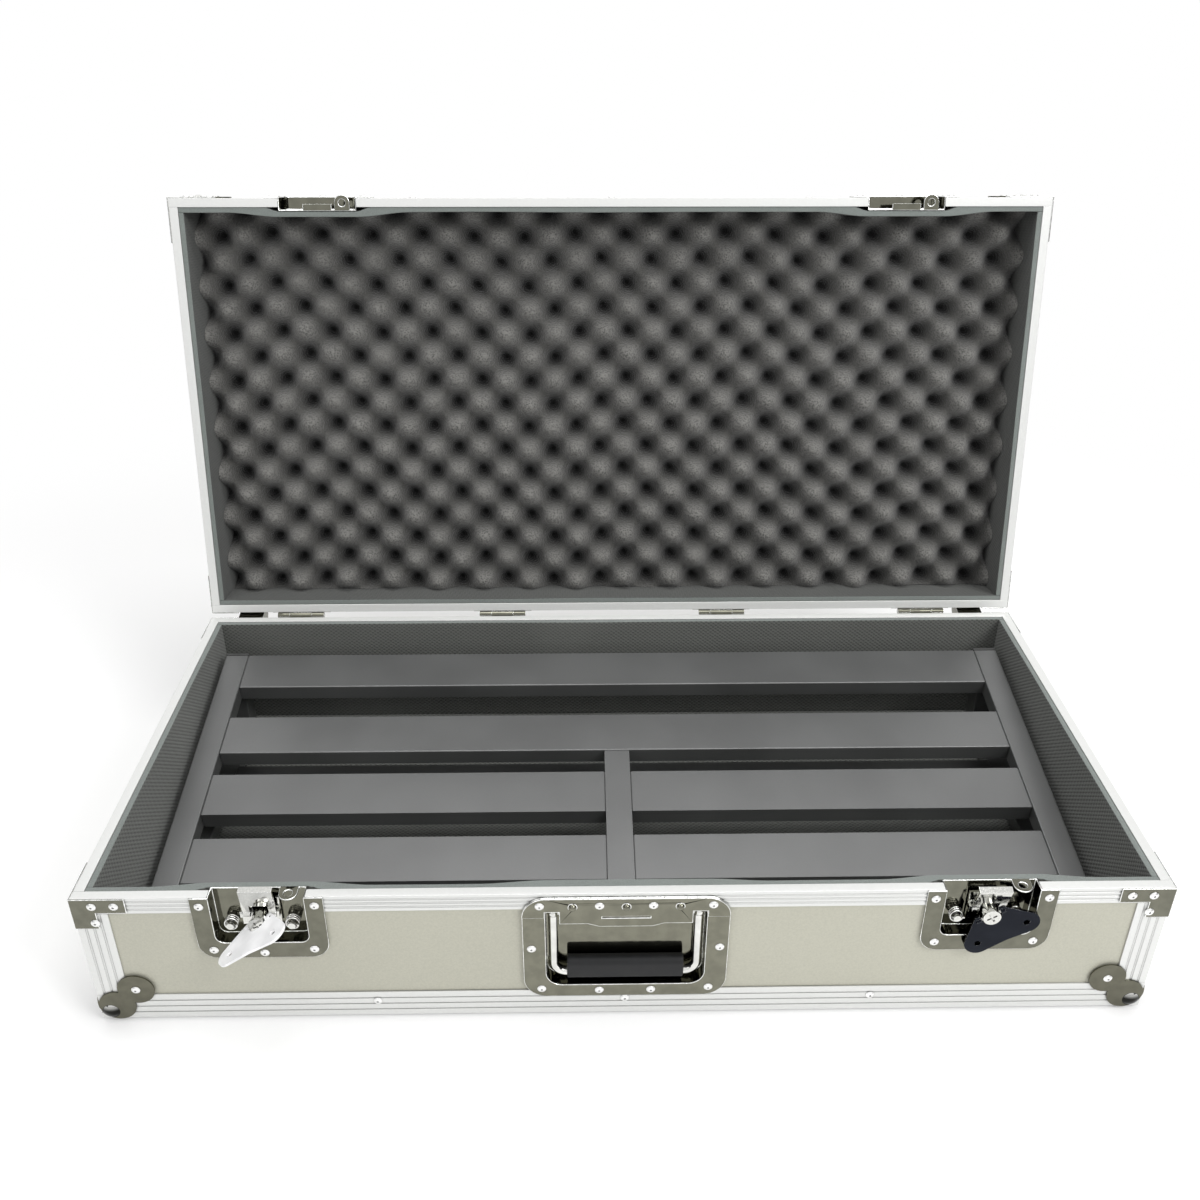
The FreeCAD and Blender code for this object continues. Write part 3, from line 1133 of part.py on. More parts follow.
# Linings that lie flat
def flat_linings():
    floor = bottom_z + skin + panel
    keep(block("floor_liner_sheet", (-inner_x, inner_x), (-inner_y, inner_y), (floor, floor + floor_liner)),
         "base_floor_liner")
    ceiling = top_z - skin - panel
    clear = wall_liner + fit_gap
    half_x, half_y = inner_x - clear, inner_y - clear
    sheet_block = block("foam_block", (-half_x, half_x), (-half_y, half_y),
                        (ceiling, ceiling - foam_height - overrun))
    foam = doc.addObject("Part::Common", "foam")
    foam.Base = folded_foam(half_x, half_y, ceiling)
    foam.Tool = sheet_block
    keep(opened(foam), "lid_egg_crate_foam")


# Pedal board
def hollow_rail(name, x, y, z, along, wall_size):
    """A rectangular tube, open at both ends along one axis."""
    spans = {"x": x, "y": y, "z": z}
    inside = []
    for axis in "xyz":
        low, high = sorted(spans[axis], key=float)
        open_end = (low - overrun, high + overrun)
        inside.append(open_end if axis == along else (low + wall_size, high - wall_size))
    return cut(f"{name}_tube", block(f"{name}_outer", x, y, z), block(f"{name}_inner", *inside))


def pedal_board():
    """The sloping board: side rails, cross rails and centre brace in its own plane, legs and rails below."""
    half = board_width / 2
    inside = half - side_rail
    top = (ZERO, -rail_tall)
    side = hollow_rail("side_rail", (inside, half), (ZERO, -board_depth), top, "y", rail_wall)
    keep(sloped(both_sides("side_rails", side)), "board_side_rails")
    cap = block("end_cap", (inside, half), (ZERO, cap_thick), top)
    front_cap = block("front_cap", (inside, half), (-board_depth, -board_depth - cap_thick), top)
    keep(sloped(both_sides("end_caps", gathered("caps", cap, front_cap))), "board_end_caps")

    gap = (board_depth - rail_wide * 5 - rear_slot) / 3
    starts = [ZERO, rail_wide + rear_slot]
    for index in range(3):
        starts.append(starts[-1] + rail_wide + gap)
    rails = []
    for index, start in enumerate(starts):
        span = (-start, -start - rail_wide)
        if index < 2:
            rails.append(hollow_rail(f"rail_{index}", (-inside, inside), span, top, "x", rail_wall))
        else:
            rails.append(hollow_rail(f"rail_{index}", (brace_rail / 2, inside), span, top, "x", rail_wall))
            rails.append(mirrored(f"rail_{index}_left", rails[-1], x=1))
    keep(sloped(gathered("cross_rails", *rails)), "board_cross_rails")
    brace = hollow_rail("centre_brace", (-brace_rail / 2, brace_rail / 2),
                        (-starts[1] - rail_wide, -board_depth),
                        top, "y", rail_wall)
    keep(sloped(brace), "board_centre_brace")

    # Below the slope: bottom rails that run into the side rails, rear legs and a lower cross rail
    back_y = inner_y - board_back_gap
    front_y = back_y - board_depth * cosine(board_slope)
    floor_z = bottom_z + skin + panel + floor_liner + fit_gap
    low_z = floor_z + foot_height
    slope_block = sloped(block("slope_block", (inside - overrun, half + overrun),
                               (overrun, -board_depth - overrun), (-rail_tall, base_height)))
    bottom = block("bottom_rail", (inside, half), (front_y + rail_tall, back_y - leg_inset),
                   (low_z, low_z + bottom_rail))
    keep(both_sides("bottom_rails", cut("bottom_rail_cut", bottom, slope_block)), "board_bottom_rails")
    leg = block("rear_leg", (inside, half), (back_y - leg_inset - leg_deep, back_y - leg_inset),
                (low_z + bottom_rail, rim_z))
    keep(both_sides("rear_legs", cut("rear_leg_cut", leg, slope_block)), "board_rear_legs")
    low_y = back_y - low_rail_place
    low = hollow_rail("low_rail", (-inside, inside), (low_y, low_y + low_rail_wide),
                      (low_z, low_z + rail_tall), "x", rail_wall)
    keep(low, "board_lower_rail")
    feet = []
    for index, y in enumerate((front_y + rail_tall + foot_inset, back_y - leg_inset - foot_inset)):
        foot = rod(f"foot_{index}", foot_radius, "z", floor_z, low_z, (inside + half) / 2, y)
        feet += [foot, mirrored(f"foot_{index}_left", foot, x=1)]
    keep(gathered("feet", *feet), "board_feet")


def stay(piece):
    return piece


shell("base", rim_z, bottom_z, -1, stay)
shell("lid", lid_rim_z, top_z, 1, opened)
flat_linings()
for latch_side, latch_word in ((-1, "left"), (1, "right")):
    dish(f"latch_dish_{latch_word}", latch_side, rim_z, -1, stay)
    dish(f"keeper_dish_{latch_word}", latch_side, lid_rim_z, 1, opened)
latch(-1, cam_turn_left, leaf_flip_left, lean_left)
latch(1, cam_turn_right, leaf_flip_right, lean_right)
latch_springs()
handle()
hinges()
lid_stops()
pedal_board()

keep(rivet_group("rivets_on_base", shell_rivets(rim_z, bottom_z, -1) + dish_rivets(rim_z, -1, dish_drop)
                 + handle_rivets() + hinge_rivets(-1)), "base_rivets")
keep(opened(rivet_group("rivets_on_lid", shell_rivets(lid_rim_z, top_z, 1)
                        + dish_rivets(lid_rim_z, 1, keeper_rise) + hinge_rivets(1))), "lid_rivets")

doc.recompute()
failed = [item.Label for item in doc.Objects if "Invalid" in item.State or "Error" in item.State]
if failed:
    raise RuntimeError("features that failed: " + ", ".join(failed))
for name, piece in made.items():
    if piece.Shape.isNull() or not piece.Shape.isValid() or not piece.Shape.Solids:
        raise RuntimeError("not a valid solid: " + name)
for name, piece in made.items():
    piece.Shape.exportStep(f"parts/{name}.step")
print(len(made), "parts written")
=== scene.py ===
"""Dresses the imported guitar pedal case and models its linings, its egg-crate foam and its grip."""

import logging
import math
from dataclasses import dataclass, replace
from enum import Enum
from functools import cache
from typing import Protocol

import bpy
import numpy as np
from mathutils import Matrix, Vector

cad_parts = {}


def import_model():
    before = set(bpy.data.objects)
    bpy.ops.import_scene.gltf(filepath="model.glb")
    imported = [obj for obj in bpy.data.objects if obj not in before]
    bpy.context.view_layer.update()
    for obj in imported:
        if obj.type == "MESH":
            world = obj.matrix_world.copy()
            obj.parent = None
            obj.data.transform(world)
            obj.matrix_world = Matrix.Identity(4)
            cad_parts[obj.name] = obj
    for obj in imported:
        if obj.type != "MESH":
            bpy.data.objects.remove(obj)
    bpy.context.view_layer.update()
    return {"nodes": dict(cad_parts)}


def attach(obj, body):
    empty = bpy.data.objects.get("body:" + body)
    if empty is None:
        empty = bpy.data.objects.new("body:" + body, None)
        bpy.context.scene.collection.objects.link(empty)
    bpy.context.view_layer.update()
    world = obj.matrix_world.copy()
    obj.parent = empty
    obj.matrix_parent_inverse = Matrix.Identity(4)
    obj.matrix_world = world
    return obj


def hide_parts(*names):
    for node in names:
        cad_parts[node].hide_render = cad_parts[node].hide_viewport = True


Colour = tuple[float, float, float]
Place = tuple[float, float, float]
Range = tuple[float, float]
Wave = tuple[float, float, float]
Socket = bpy.types.NodeSocket
Value = float | Colour | Socket

RISE = "rise"
NOISE_RANGE: Range = (0.3, 0.7)
WHITE: Colour = (1.0, 1.0, 1.0)

log = logging.getLogger("pedal_case")


class Side(Enum):
    """The two ends of the case, by the sign of X."""

    LEFT = -1
    RIGHT = 1


class Shell(Enum):
    """The two halves of the case, by the first word of their nodes' names."""

    BASE = "base"
    LID = "lid"


# Node sheets and finishes


def scaled(tone: Colour, share: float) -> Colour:
    """A tone with each of its parts multiplied by a share."""
    return tuple(part * share for part in tone)


class NodeSheet:
    """An empty node tree of a material or a world, with short calls for adding and joining its nodes."""

    def __init__(self, owner: bpy.types.Material | bpy.types.World) -> None:
        """Clear the tree.

        Args:
            owner: the material or the world that it belongs to.
        """
        owner.use_nodes = True
        self.tree = owner.node_tree
        self.tree.nodes.clear()

    def node(self, kind: str, **settings: object) -> bpy.types.Node:
        """Add a node and set its own properties.

        Args:
            kind: the node's type name.
            settings: properties of the node by name.

        Returns:
            The new node.
        """
        made = self.tree.nodes.new(kind)
        for key, value in settings.items():
            setattr(made, key, value)
        return made

    def feed(self, node: bpy.types.Node, **inputs: Value) -> bpy.types.Node:
        """Set or join a node's inputs.

        Args:
            node: the node that takes them.
            inputs: a number, a colour or another node's socket, by the input's name with _ for a space,
                or by in0, in1 for inputs that share a name.

        Returns:
            The same node.
        """
        for key, value in inputs.items():
            place = int(key[2:]) if key[:2] == "in" and key[2:].isdigit() else key.replace("_", " ")
            socket = node.inputs[place]
            if isinstance(value, Socket):
                self.tree.links.new(value, socket)
            elif isinstance(value, tuple) and socket.type == "RGBA":
                socket.default_value = (*value, 1)
            else:
                socket.default_value = value
        return node

    def shown(self) -> Socket:
        """1 for the rays of the camera, of reflections and of clear pieces, and 0 for all others.

        Returns:
            The value's socket.
        """
        path = self.node("ShaderNodeLightPath")
        seen = path.outputs["Is Camera Ray"]
        for kind in ("Is Glossy Ray", "Is Transmission Ray"):
            either = self.node("ShaderNodeMath", operation="MAXIMUM")
            seen = self.feed(either, in0=seen, in1=path.outputs[kind]).outputs[0]
        return seen


class FinishSheet(NodeSheet):
    """The node tree of one finish, with the patterns that the finishes share."""

    def __init__(self, name: str) -> None:
        """Start a material that holds only its shader and its output.

        Args:
            name: the material's name.
        """
        self.material = bpy.data.materials.new(name)
        super().__init__(self.material)
        self.shader = self.node("ShaderNodeBsdfPrincipled")
        self.output = self.feed(self.node("ShaderNodeOutputMaterial"), Surface=self.shader.outputs["BSDF"])

    def surface(self, **inputs: Value) -> None:
        """Set or join the shader's inputs."""
        self.feed(self.shader, **inputs)

    def place(self) -> Socket:
        """The point's place in metres, fixed to the piece."""
        return self.node("ShaderNodeTexCoord").outputs["Object"]

    def sheet_place(self) -> Socket:
        """The point's place along and up a lining sheet, in metres."""
        return self.node("ShaderNodeTexCoord").outputs["UV"]

    def stretched(self, place: Socket, scale: Place) -> Socket:
        """A place scaled on each axis."""
        return self.feed(self.node("ShaderNodeMapping"), Vector=place, Scale=scale).outputs["Vector"]

    def noise(self, place: Socket, scale: float, detail: float = 2.0) -> Socket:
        """Soft random spots between 0 and 1: scale is how many to the metre, detail their finer layers."""
        return self.feed(self.node("ShaderNodeTexNoise"), Vector=place, Scale=scale, Detail=detail).outputs[0]

    def cells(self, place: Socket, scale: float) -> Socket:
        """Distance to the nearest of many scattered points, for open foam cells."""
        return self.feed(self.node("ShaderNodeTexVoronoi"), Vector=place, Scale=scale).outputs["Distance"]

    def sum(self, first: Value, second: Value) -> Socket:
        """The two values added."""
        return self.feed(self.node("ShaderNodeMath", operation="ADD"), in0=first, in1=second).outputs[0]

    def product(self, first: Value, second: Value) -> Socket:
        """The two values multiplied."""
        return self.feed(self.node("ShaderNodeMath", operation="MULTIPLY"), in0=first, in1=second).outputs[0]

    def wave(self, value: Socket, pitch: float) -> Socket:
        """Cosine of a length, one whole wave to the pitch."""
        turned = self.product(value, math.tau / pitch)
        return self.feed(self.node("ShaderNodeMath", operation="COSINE"), in0=turned).outputs[0]

    def spread(self, value: Socket, low: float, high: float, start: float = 0.0, end: float = 1.0) -> Socket:
        """A value carried from one range to another, and held at its ends.

        Args:
            value: what is carried over.
            low: the old range's start.
            high: the old range's end.
            start: the new range's start.
            end: the new range's end.

        Returns:
            The new value's socket.
        """
        node = self.node("ShaderNodeMapRange", interpolation_type="SMOOTHSTEP")
        self.feed(node, in0=value, in1=low, in2=high, in3=start, in4=end)
        return node.outputs[0]

    def blended(self, amount: Value, first: Value, second: Value) -> Socket:
        """A colour between two others.

        Args:
            amount: 0 for the first, 1 for the second.
            first: colour at 0.
            second: colour at 1.

        Returns:
            The colour's socket.
        """
        node = self.node("ShaderNodeMix", data_type="RGBA")
        self.feed(node, in0=amount, in6=first, in7=second)
        return node.outputs[2]

    def shade(self, tone: Colour, factor: Socket, left: Range) -> Socket:
        """A tone shaded by a value: left holds how much of it is left at 0 and at 1."""
        return self.blended(factor, scaled(tone, left[0]), scaled(tone, left[1]))

    def mottled(self, tone: Colour, noise: Socket, left: Range, reach: Range = NOISE_RANGE) -> Socket:
        """A tone shaded by a noise: reach holds the noise's values that count as 0 and as 1."""
        return self.shade(tone, self.spread(noise, *reach), left)

    def roughen(self, noise: Socket, middle: float, around: Range, reach: Range = NOISE_RANGE) -> None:
        """Let the roughness follow a noise: around holds what is added to its middle at either end."""
        self.surface(Roughness=self.spread(noise, *reach, middle + around[0], middle + around[1]))

    def relief(self, height: Socket, depth: float) -> None:
        """Press a pattern between 0 and 1 into the surface, to a depth in metres."""
        node = self.feed(self.node("ShaderNodeBump"), Height=height, Distance=depth)
        self.surface(Normal=node.outputs["Normal"])

    def darkened(self, tone: Socket, dark: Colour, reach: float, opening: Range) -> Socket:
        """A tone with painted shade in grooves, in holes and where pieces meet.

        Args:
            tone: the colour in the open.
            dark: the colour of the painted shade deep in a hole.
            reach: how near in metres another surface has to be to count.
            opening: how open a place is, from 0 to 1, where it is fully dark and where it isn't dark.

        Returns:
            The colour's socket.
        """
        near = self.feed(self.node("ShaderNodeAmbientOcclusion", samples=6), Distance=reach)
        return self.blended(self.spread(near.outputs["AO"], *opening), dark, tone)


class Finish(Protocol):
    """What every finish has: a name, and a call that builds its material.

    In the finishes below a scale counts spots to the metre, a depth is in metres, tone_left says how much
    of the tone is left where a pattern is low and high, and rougher what is added to the roughness there.
    """

    name: str

    def make(self) -> bpy.types.Material:
        """Build the finish's material."""


@dataclass(frozen=True)
class Laminate:
    """Satin warm grey laminate of the panels: a fine fleck over a slow change of tone."""

    name: str = "satin_laminate"
    tone: Colour = (0.455, 0.448, 0.372)
    tone_left: Range = (0.93, 1.07)
    roughness: float = 0.36
    rougher: Range = (-0.05, 0.06)
    specular: float = 0.45
    fleck_scale: float = 700.0
    fleck_share: float = 0.6
    fleck_depth: float = 0.00003
    cloud_scale: float = 5.0

    def make(self) -> bpy.types.Material:
        """Build the laminate's material.

        Returns:
            The material.
        """
        sheet = FinishSheet(self.name)
        place = sheet.place()
        fleck = sheet.noise(place, self.fleck_scale, detail=3.0)
        cloud = sheet.noise(place, self.cloud_scale)
        mottle = sheet.sum(sheet.product(fleck, self.fleck_share), sheet.product(cloud, 1 - self.fleck_share))
        sheet.surface(Base_Color=sheet.mottled(self.tone, mottle, self.tone_left))
        sheet.surface(Specular_IOR_Level=self.specular)
        sheet.roughen(fleck, self.roughness, self.rougher)
        sheet.relief(fleck, self.fleck_depth)
        return sheet.material


@dataclass(frozen=True)
class BrightStrip:
    """Bright anodised aluminium of the strips, with a fine grain and painted shade darkening the grooves."""

    name: str = "bright_strip"
    tone: Colour = (0.73, 0.735, 0.72)
    tone_left: Range = (0.985, 1.01)
    roughness: float = 0.36
    rougher: Range = (-0.03, 0.03)
    metallic: float = 0.4
    grain_scale: float = 420.0
    groove_reach: float = 0.002
    groove_opening: Range = (0.4, 0.92)
    groove_left: float = 0.45

    def make(self) -> bpy.types.Material:
        """Build the strips' material.

        Returns:
            The material.
        """
        sheet = FinishSheet(self.name)
        grain = sheet.noise(sheet.place(), self.grain_scale, detail=3.0)
        tone = sheet.mottled(self.tone, grain, self.tone_left)
        # Painted shade in the grooves, darker where they are more closed in.
        groove_shade = scaled(self.tone, self.groove_left)
        groove_shaded = sheet.darkened(tone, groove_shade, self.groove_reach, self.groove_opening)
        sheet.surface(Base_Color=groove_shaded, Metallic=self.metallic)
        sheet.roughen(grain, self.roughness, self.rougher)
        return sheet.material


@dataclass(frozen=True)
class NickelPlate:
    """Mirror-bright nickel plate on pressed sheet, a little wavy, with faint handling marks and painted shade
    where other pieces meet it.
    """

    name: str = "nickel_plate"
    # The tone is far darker than bare nickel: a painted reflection of dark surroundings.
    tone: Colour = (0.165, 0.163, 0.13)
    roughness: float = 0.07
    tone_left: Range = (0.9, 1.1)
    rougher: Range = (0.0, 0.07)
    ripple_scale: float = 38.0
    ripple_depth: float = 0.0003
    smudge_scale: float = 90.0
    smudge_reach: Range = (0.4, 0.75)
    contact_reach: float = 0.002
    contact_opening: Range = (0.3, 0.75)
    contact_left: float = 0.3

    def make(self) -> bpy.types.Material:
        """Build the plate's material.

        Returns:
            The material.
        """
        sheet = FinishSheet(self.name)
        place = sheet.place()
        ripple = sheet.noise(place, self.ripple_scale)
        smudge = sheet.noise(place, self.smudge_scale, detail=4.0)
        tone = sheet.mottled(self.tone, smudge, self.tone_left)
        # Painted shade where rivets and other pieces meet the plate.
        contact_shade = scaled(self.tone, self.contact_left)
        tone = sheet.darkened(tone, contact_shade, self.contact_reach, self.contact_opening)
        sheet.surface(Base_Color=tone, Metallic=1.0)
        sheet.roughen(smudge, self.roughness, self.rougher, self.smudge_reach)
        sheet.relief(ripple, self.ripple_depth)
        return sheet.material


@dataclass(frozen=True)
class BallNickel:
    """Nickel plate of the ball corners: pale petals, and balls with a painted reflection, dark below and
    bright where they face up.
    """

    name: str
    centres: tuple[Place, ...]
    radius: float = 0.0121
    blend: float = 0.00015
    # The petal tone is kept dark as a painted reflection of dark surroundings.
    petal_tone: Colour = (0.138, 0.134, 0.103)
    petal_left: Range = (0.9, 1.1)
    reflected_dark_tone: Colour = (0.02, 0.02, 0.018)
    reflected_light_tone: Colour = (0.8, 0.8, 0.77)
    reflection_rise: Range = (0.08, 0.75)
    roughness: float = 0.1
    rougher: Range = (0.0, 0.06)
    smudge_scale: float = 90.0
    smudge_reach: Range = (0.4, 0.75)

    def make(self) -> bpy.types.Material:
        """Build the ball corners' material.

        Returns:
            The material.
        """
        sheet = FinishSheet(self.name)
        place = sheet.place()
        nearest = None
        for centre in self.centres:
            reach = sheet.node("ShaderNodeVectorMath", operation="DISTANCE")
            away = sheet.feed(reach, in0=place, in1=centre).outputs["Value"]
            if nearest is not None:
                smaller = sheet.node("ShaderNodeMath", operation="MINIMUM")
                away = sheet.feed(smaller, in0=nearest, in1=away).outputs[0]
            nearest = away
        # Painted reflection: each ball is painted brighter the more its surface faces up.
        facing = sheet.node("ShaderNodeTexCoord").outputs["Normal"]
        upward = sheet.feed(sheet.node("ShaderNodeSeparateXYZ"), Vector=facing).outputs["Z"]
        ball = sheet.blended(sheet.spread(upward, *self.reflection_rise), self.reflected_dark_tone, self.reflected_light_tone)
        smudge = sheet.noise(place, self.smudge_scale, detail=4.0)
        petal = sheet.mottled(self.petal_tone, smudge, self.petal_left)
        outside = sheet.spread(nearest, self.radius, self.radius + self.blend)
        sheet.surface(Base_Color=sheet.blended(outside, ball, petal), Metallic=1.0)
        sheet.roughen(smudge, self.roughness, self.rougher, self.smudge_reach)
        return sheet.material


@dataclass(frozen=True)
class PaintedEdgeHighlight:
    """Rounded edge of a plated or anodised piece, painted near white as a thin highlight line."""

    name: str = "painted_edge_highlight"
    tone: Colour = (0.95, 0.96, 0.94)
    tone_left: Range = (0.75, 1.08)
    roughness: float = 0.22
    highlight_break_scale: float = 260.0
    highlight_break_reach: Range = (0.35, 0.65)

    def make(self) -> bpy.types.Material:
        """Build the edge's material.

        Returns:
            The material.
        """
        sheet = FinishSheet(self.name)
        # The noise breaks the painted highlight into brighter and dimmer stretches.
        wear = sheet.noise(sheet.place(), self.highlight_break_scale, detail=3.0)
        tone = sheet.mottled(self.tone, wear, self.tone_left, self.highlight_break_reach)
        sheet.surface(Base_Color=tone, Metallic=1.0, Roughness=self.roughness)
        return sheet.material


@dataclass(frozen=True)
class BareMetal:
    """Turned, wound or pressed bright metal: rivets, springs and the hardware inside a latch, with painted
    shade in their holes.
    """

    name: str
    tone: Colour
    roughness: float
    hole_reach: float
    hole_opening: Range = (0.25, 0.7)
    hole_left: float = 0.12
    tone_left: Range = (0.9, 1.06)
    rougher: Range = (-0.04, 0.05)
    grain_scale: float = 900.0

    def make(self) -> bpy.types.Material:
        """Build the metal's material.

        Returns:
            The material.
        """
        sheet = FinishSheet(self.name)
        grain = sheet.noise(sheet.place(), self.grain_scale, detail=3.0)
        tone = sheet.mottled(self.tone, grain, self.tone_left)
        # Painted shade in holes and gaps, such as the dark dot of a rivet's mandrel.
        tone = sheet.darkened(tone, scaled(self.tone, self.hole_left), self.hole_reach, self.hole_opening)
        sheet.surface(Base_Color=tone, Metallic=1.0)
        sheet.roughen(grain, self.roughness, self.rougher)
        return sheet.material


@dataclass(frozen=True)
class BrushedLeaf:
    """Pressed leaf of a latch, brushed along its length."""

    name: str
    tone: Colour
    roughness: float
    metallic: float = 1.0
    tone_left: Range = (0.88, 1.1)
    rougher: Range = (-0.05, 0.08)
    brush_scale: Place = (60.0, 900.0, 900.0)
    brush_depth: float = 0.00003
    cloud_scale: float = 45.0

    def make(self) -> bpy.types.Material:
        """Build the leaf's material.

        Returns:
            The material.
        """
        sheet = FinishSheet(self.name)
        place = sheet.place()
        brush = sheet.noise(sheet.stretched(place, self.brush_scale), 1.0, detail=3.0)
        cloud = sheet.noise(place, self.cloud_scale)
        sheet.surface(Base_Color=sheet.mottled(self.tone, cloud, self.tone_left), Metallic=self.metallic)
        sheet.roughen(brush, self.roughness, self.rougher)
        sheet.relief(brush, self.brush_depth)
        return sheet.material


@dataclass(frozen=True)
class EmbossedLining:
    """Dark foam sheet whose face is embossed with small diamonds."""

    name: str = "embossed_lining"
    tone: Colour = (0.13, 0.135, 0.125)
    tone_left: Range = (0.62, 1.12)
    worn_left: float = 1.35
    diamond_wide: float = 0.0052
    diamond_tall: float = 0.0042
    diamond_reach: Range = (-0.75, 0.35)
    emboss: float = 0.00045
    roughness: float = 0.86
    grain_scale: float = 1400.0
    grain_share: float = 0.12
    cloud_scale: float = 9.0
    cloud_reach: Range = (0.45, 0.8)
    worn_share: float = 0.35

    def make(self) -> bpy.types.Material:
        """Build the lining's material.

        Returns:
            The material.
        """
        sheet = FinishSheet(self.name)
        split = sheet.feed(sheet.node("ShaderNodeSeparateXYZ"), Vector=sheet.sheet_place())
        across = sheet.wave(split.outputs["X"], self.diamond_wide)
        up = sheet.wave(split.outputs["Y"], self.diamond_tall)
        diamond = sheet.spread(sheet.product(across, up), *self.diamond_reach)
        grain = sheet.noise(sheet.place(), self.grain_scale)
        cloud = sheet.noise(sheet.place(), self.cloud_scale)
        tone = sheet.shade(self.tone, diamond, self.tone_left)
        worn = sheet.spread(cloud, *self.cloud_reach, end=self.worn_share)
        sheet.surface(Base_Color=sheet.blended(worn, tone, scaled(self.tone, self.worn_left)))
        sheet.surface(Roughness=self.roughness, Specular_IOR_Level=0.3)
        sheet.surface(Sheen_Weight=0.15, Sheen_Roughness=0.5)
        sheet.relief(sheet.sum(diamond, sheet.product(grain, self.grain_share)), self.emboss)
        return sheet.material


@dataclass(frozen=True)
class CutFoam:
    """Cut or moulded face of plain foam, with fine open cells.

    Where deep_left is under 1, painted shade darkens the foam by its own rise, from its crests down:
    saddle_left of the tone is left half way, and deep_left of it in the hollows.
    """

    name: str
    tone: Colour
    cell_scale: float
    cell_depth: float
    mottle: float
    deep_left: float = 1.0
    deep_rise: Range = (0.16, 0.54)
    saddle_left: float = 0.55
    saddle_rise: Range = (0.45, 1.0)
    dusty_left: float = 1.22
    cell_share: float = 0.7
    fine_scale: float = 1.7
    fine_share: float = 0.5
    grain_reach: Range = (0.25, 0.75)
    cloud_scale: float = 24.0
    cloud_reach: Range = (0.4, 0.75)
    dusty_share: float = 0.5

    def make(self) -> bpy.types.Material:
        """Build the foam's material.

        Returns:
            The material.
        """
        sheet = FinishSheet(self.name)
        place = sheet.place()
        cell = sheet.cells(place, self.cell_scale)
        fine = sheet.noise(place, self.cell_scale * self.fine_scale, detail=3.0)
        cloud = sheet.noise(place, self.cloud_scale)
        grain = sheet.sum(sheet.product(cell, self.cell_share), sheet.product(fine, self.fine_share))
        tone = sheet.mottled(self.tone, grain, (1 - self.mottle, 1 + self.mottle), self.grain_reach)
        dusty = sheet.spread(cloud, *self.cloud_reach, end=self.dusty_share)
        tone = sheet.blended(dusty, tone, scaled(self.tone, self.dusty_left))
        if self.deep_left < 1:
            # Painted shade: darker from the crests down into the hollows, as light from above would fall.
            rise = sheet.node("ShaderNodeAttribute", attribute_name=RISE).outputs["Fac"]
            for left, reach in ((self.saddle_left, self.saddle_rise), (self.deep_left, self.deep_rise)):
                tone = sheet.blended(sheet.spread(rise, *reach), scaled(self.tone, left), tone)
        sheet.surface(Base_Color=tone)
        sheet.surface(Roughness=0.95, Specular_IOR_Level=0.2, Sheen_Weight=0.25, Sheen_Roughness=0.6)
        sheet.relief(grain, self.cell_depth)
        return sheet.material


@dataclass(frozen=True)
class Rubber:
    """Black rubber: fine skin, a soft sheen and a little dust."""

    name: str
    tone: Colour
    roughness: float
    tone_left: Range = (0.85, 1.3)
    rougher: Range = (-0.06, 0.08)
    specular: float = 0.35
    skin_scale: float = 1100.0
    skin_depth: float = 0.00006
    dust_scale: float = 70.0
    dust_reach: Range = (0.35, 0.75)

    def make(self) -> bpy.types.Material:
        """Build the rubber's material.

        Returns:
            The material.
        """
        sheet = FinishSheet(self.name)
        place = sheet.place()
        skin = sheet.noise(place, self.skin_scale, detail=3.0)
        dust = sheet.noise(place, self.dust_scale, detail=4.0)
        sheet.surface(Base_Color=sheet.mottled(self.tone, dust, self.tone_left, self.dust_reach))
        sheet.surface(Specular_IOR_Level=self.specular)
        sheet.roughen(dust, self.roughness, self.rougher)
        sheet.relief(skin, self.skin_depth)
        return sheet.material


@dataclass(frozen=True)
class SatinBlack:
    """Satin black powder coat of the pedal board's rails, with a fine orange-peel skin."""

    name: str = "satin_black_coat"
    tone: Colour = (0.066, 0.068, 0.067)
    tone_left: Range = (0.85, 1.15)
    roughness: float = 0.4
    rougher: Range = (-0.05, 0.06)
    specular: float = 1.0
    coat: float = 0.7
    coat_roughness: float = 0.36
    peel_scale: float = 620.0
    peel_depth: float = 0.00009
    cloud_scale: float = 11.0

    def make(self) -> bpy.types.Material:
        """Build the coat's material.

        Returns:
            The material.
        """
        sheet = FinishSheet(self.name)
        place = sheet.place()
        peel = sheet.noise(place, self.peel_scale)
        cloud = sheet.noise(place, self.cloud_scale)
        sheet.surface(Base_Color=sheet.mottled(self.tone, cloud, self.tone_left))
        sheet.roughen(peel, self.roughness, self.rougher)
        sheet.surface(Specular_IOR_Level=self.specular)
        sheet.surface(Coat_Weight=self.coat, Coat_Roughness=self.coat_roughness)
        sheet.relief(peel, self.peel_depth)
        return sheet.material


RIVET = BareMetal("rivet_aluminium", (0.93, 0.93, 0.92), 0.36, 0.0016)
SPRING = BareMetal("spring_wire", (0.8, 0.8, 0.78), 0.12, 0.0035)
LATCH_WORKS = BareMetal("latch_works", (0.68, 0.68, 0.65), 0.07, 0.004)
# Both plate tones are kept dark as a painted reflection of dark surroundings; the rod keeps a bright nickel
# tone.
PLATE = NickelPlate()
HANDLE_PLATE = NickelPlate("handle_nickel", (0.195, 0.192, 0.152))
HANDLE_ROD = NickelPlate("polished_rod", (0.72, 0.72, 0.69), 0.04, ripple_depth=0.00003)
EDGE = PaintedEdgeHighlight()
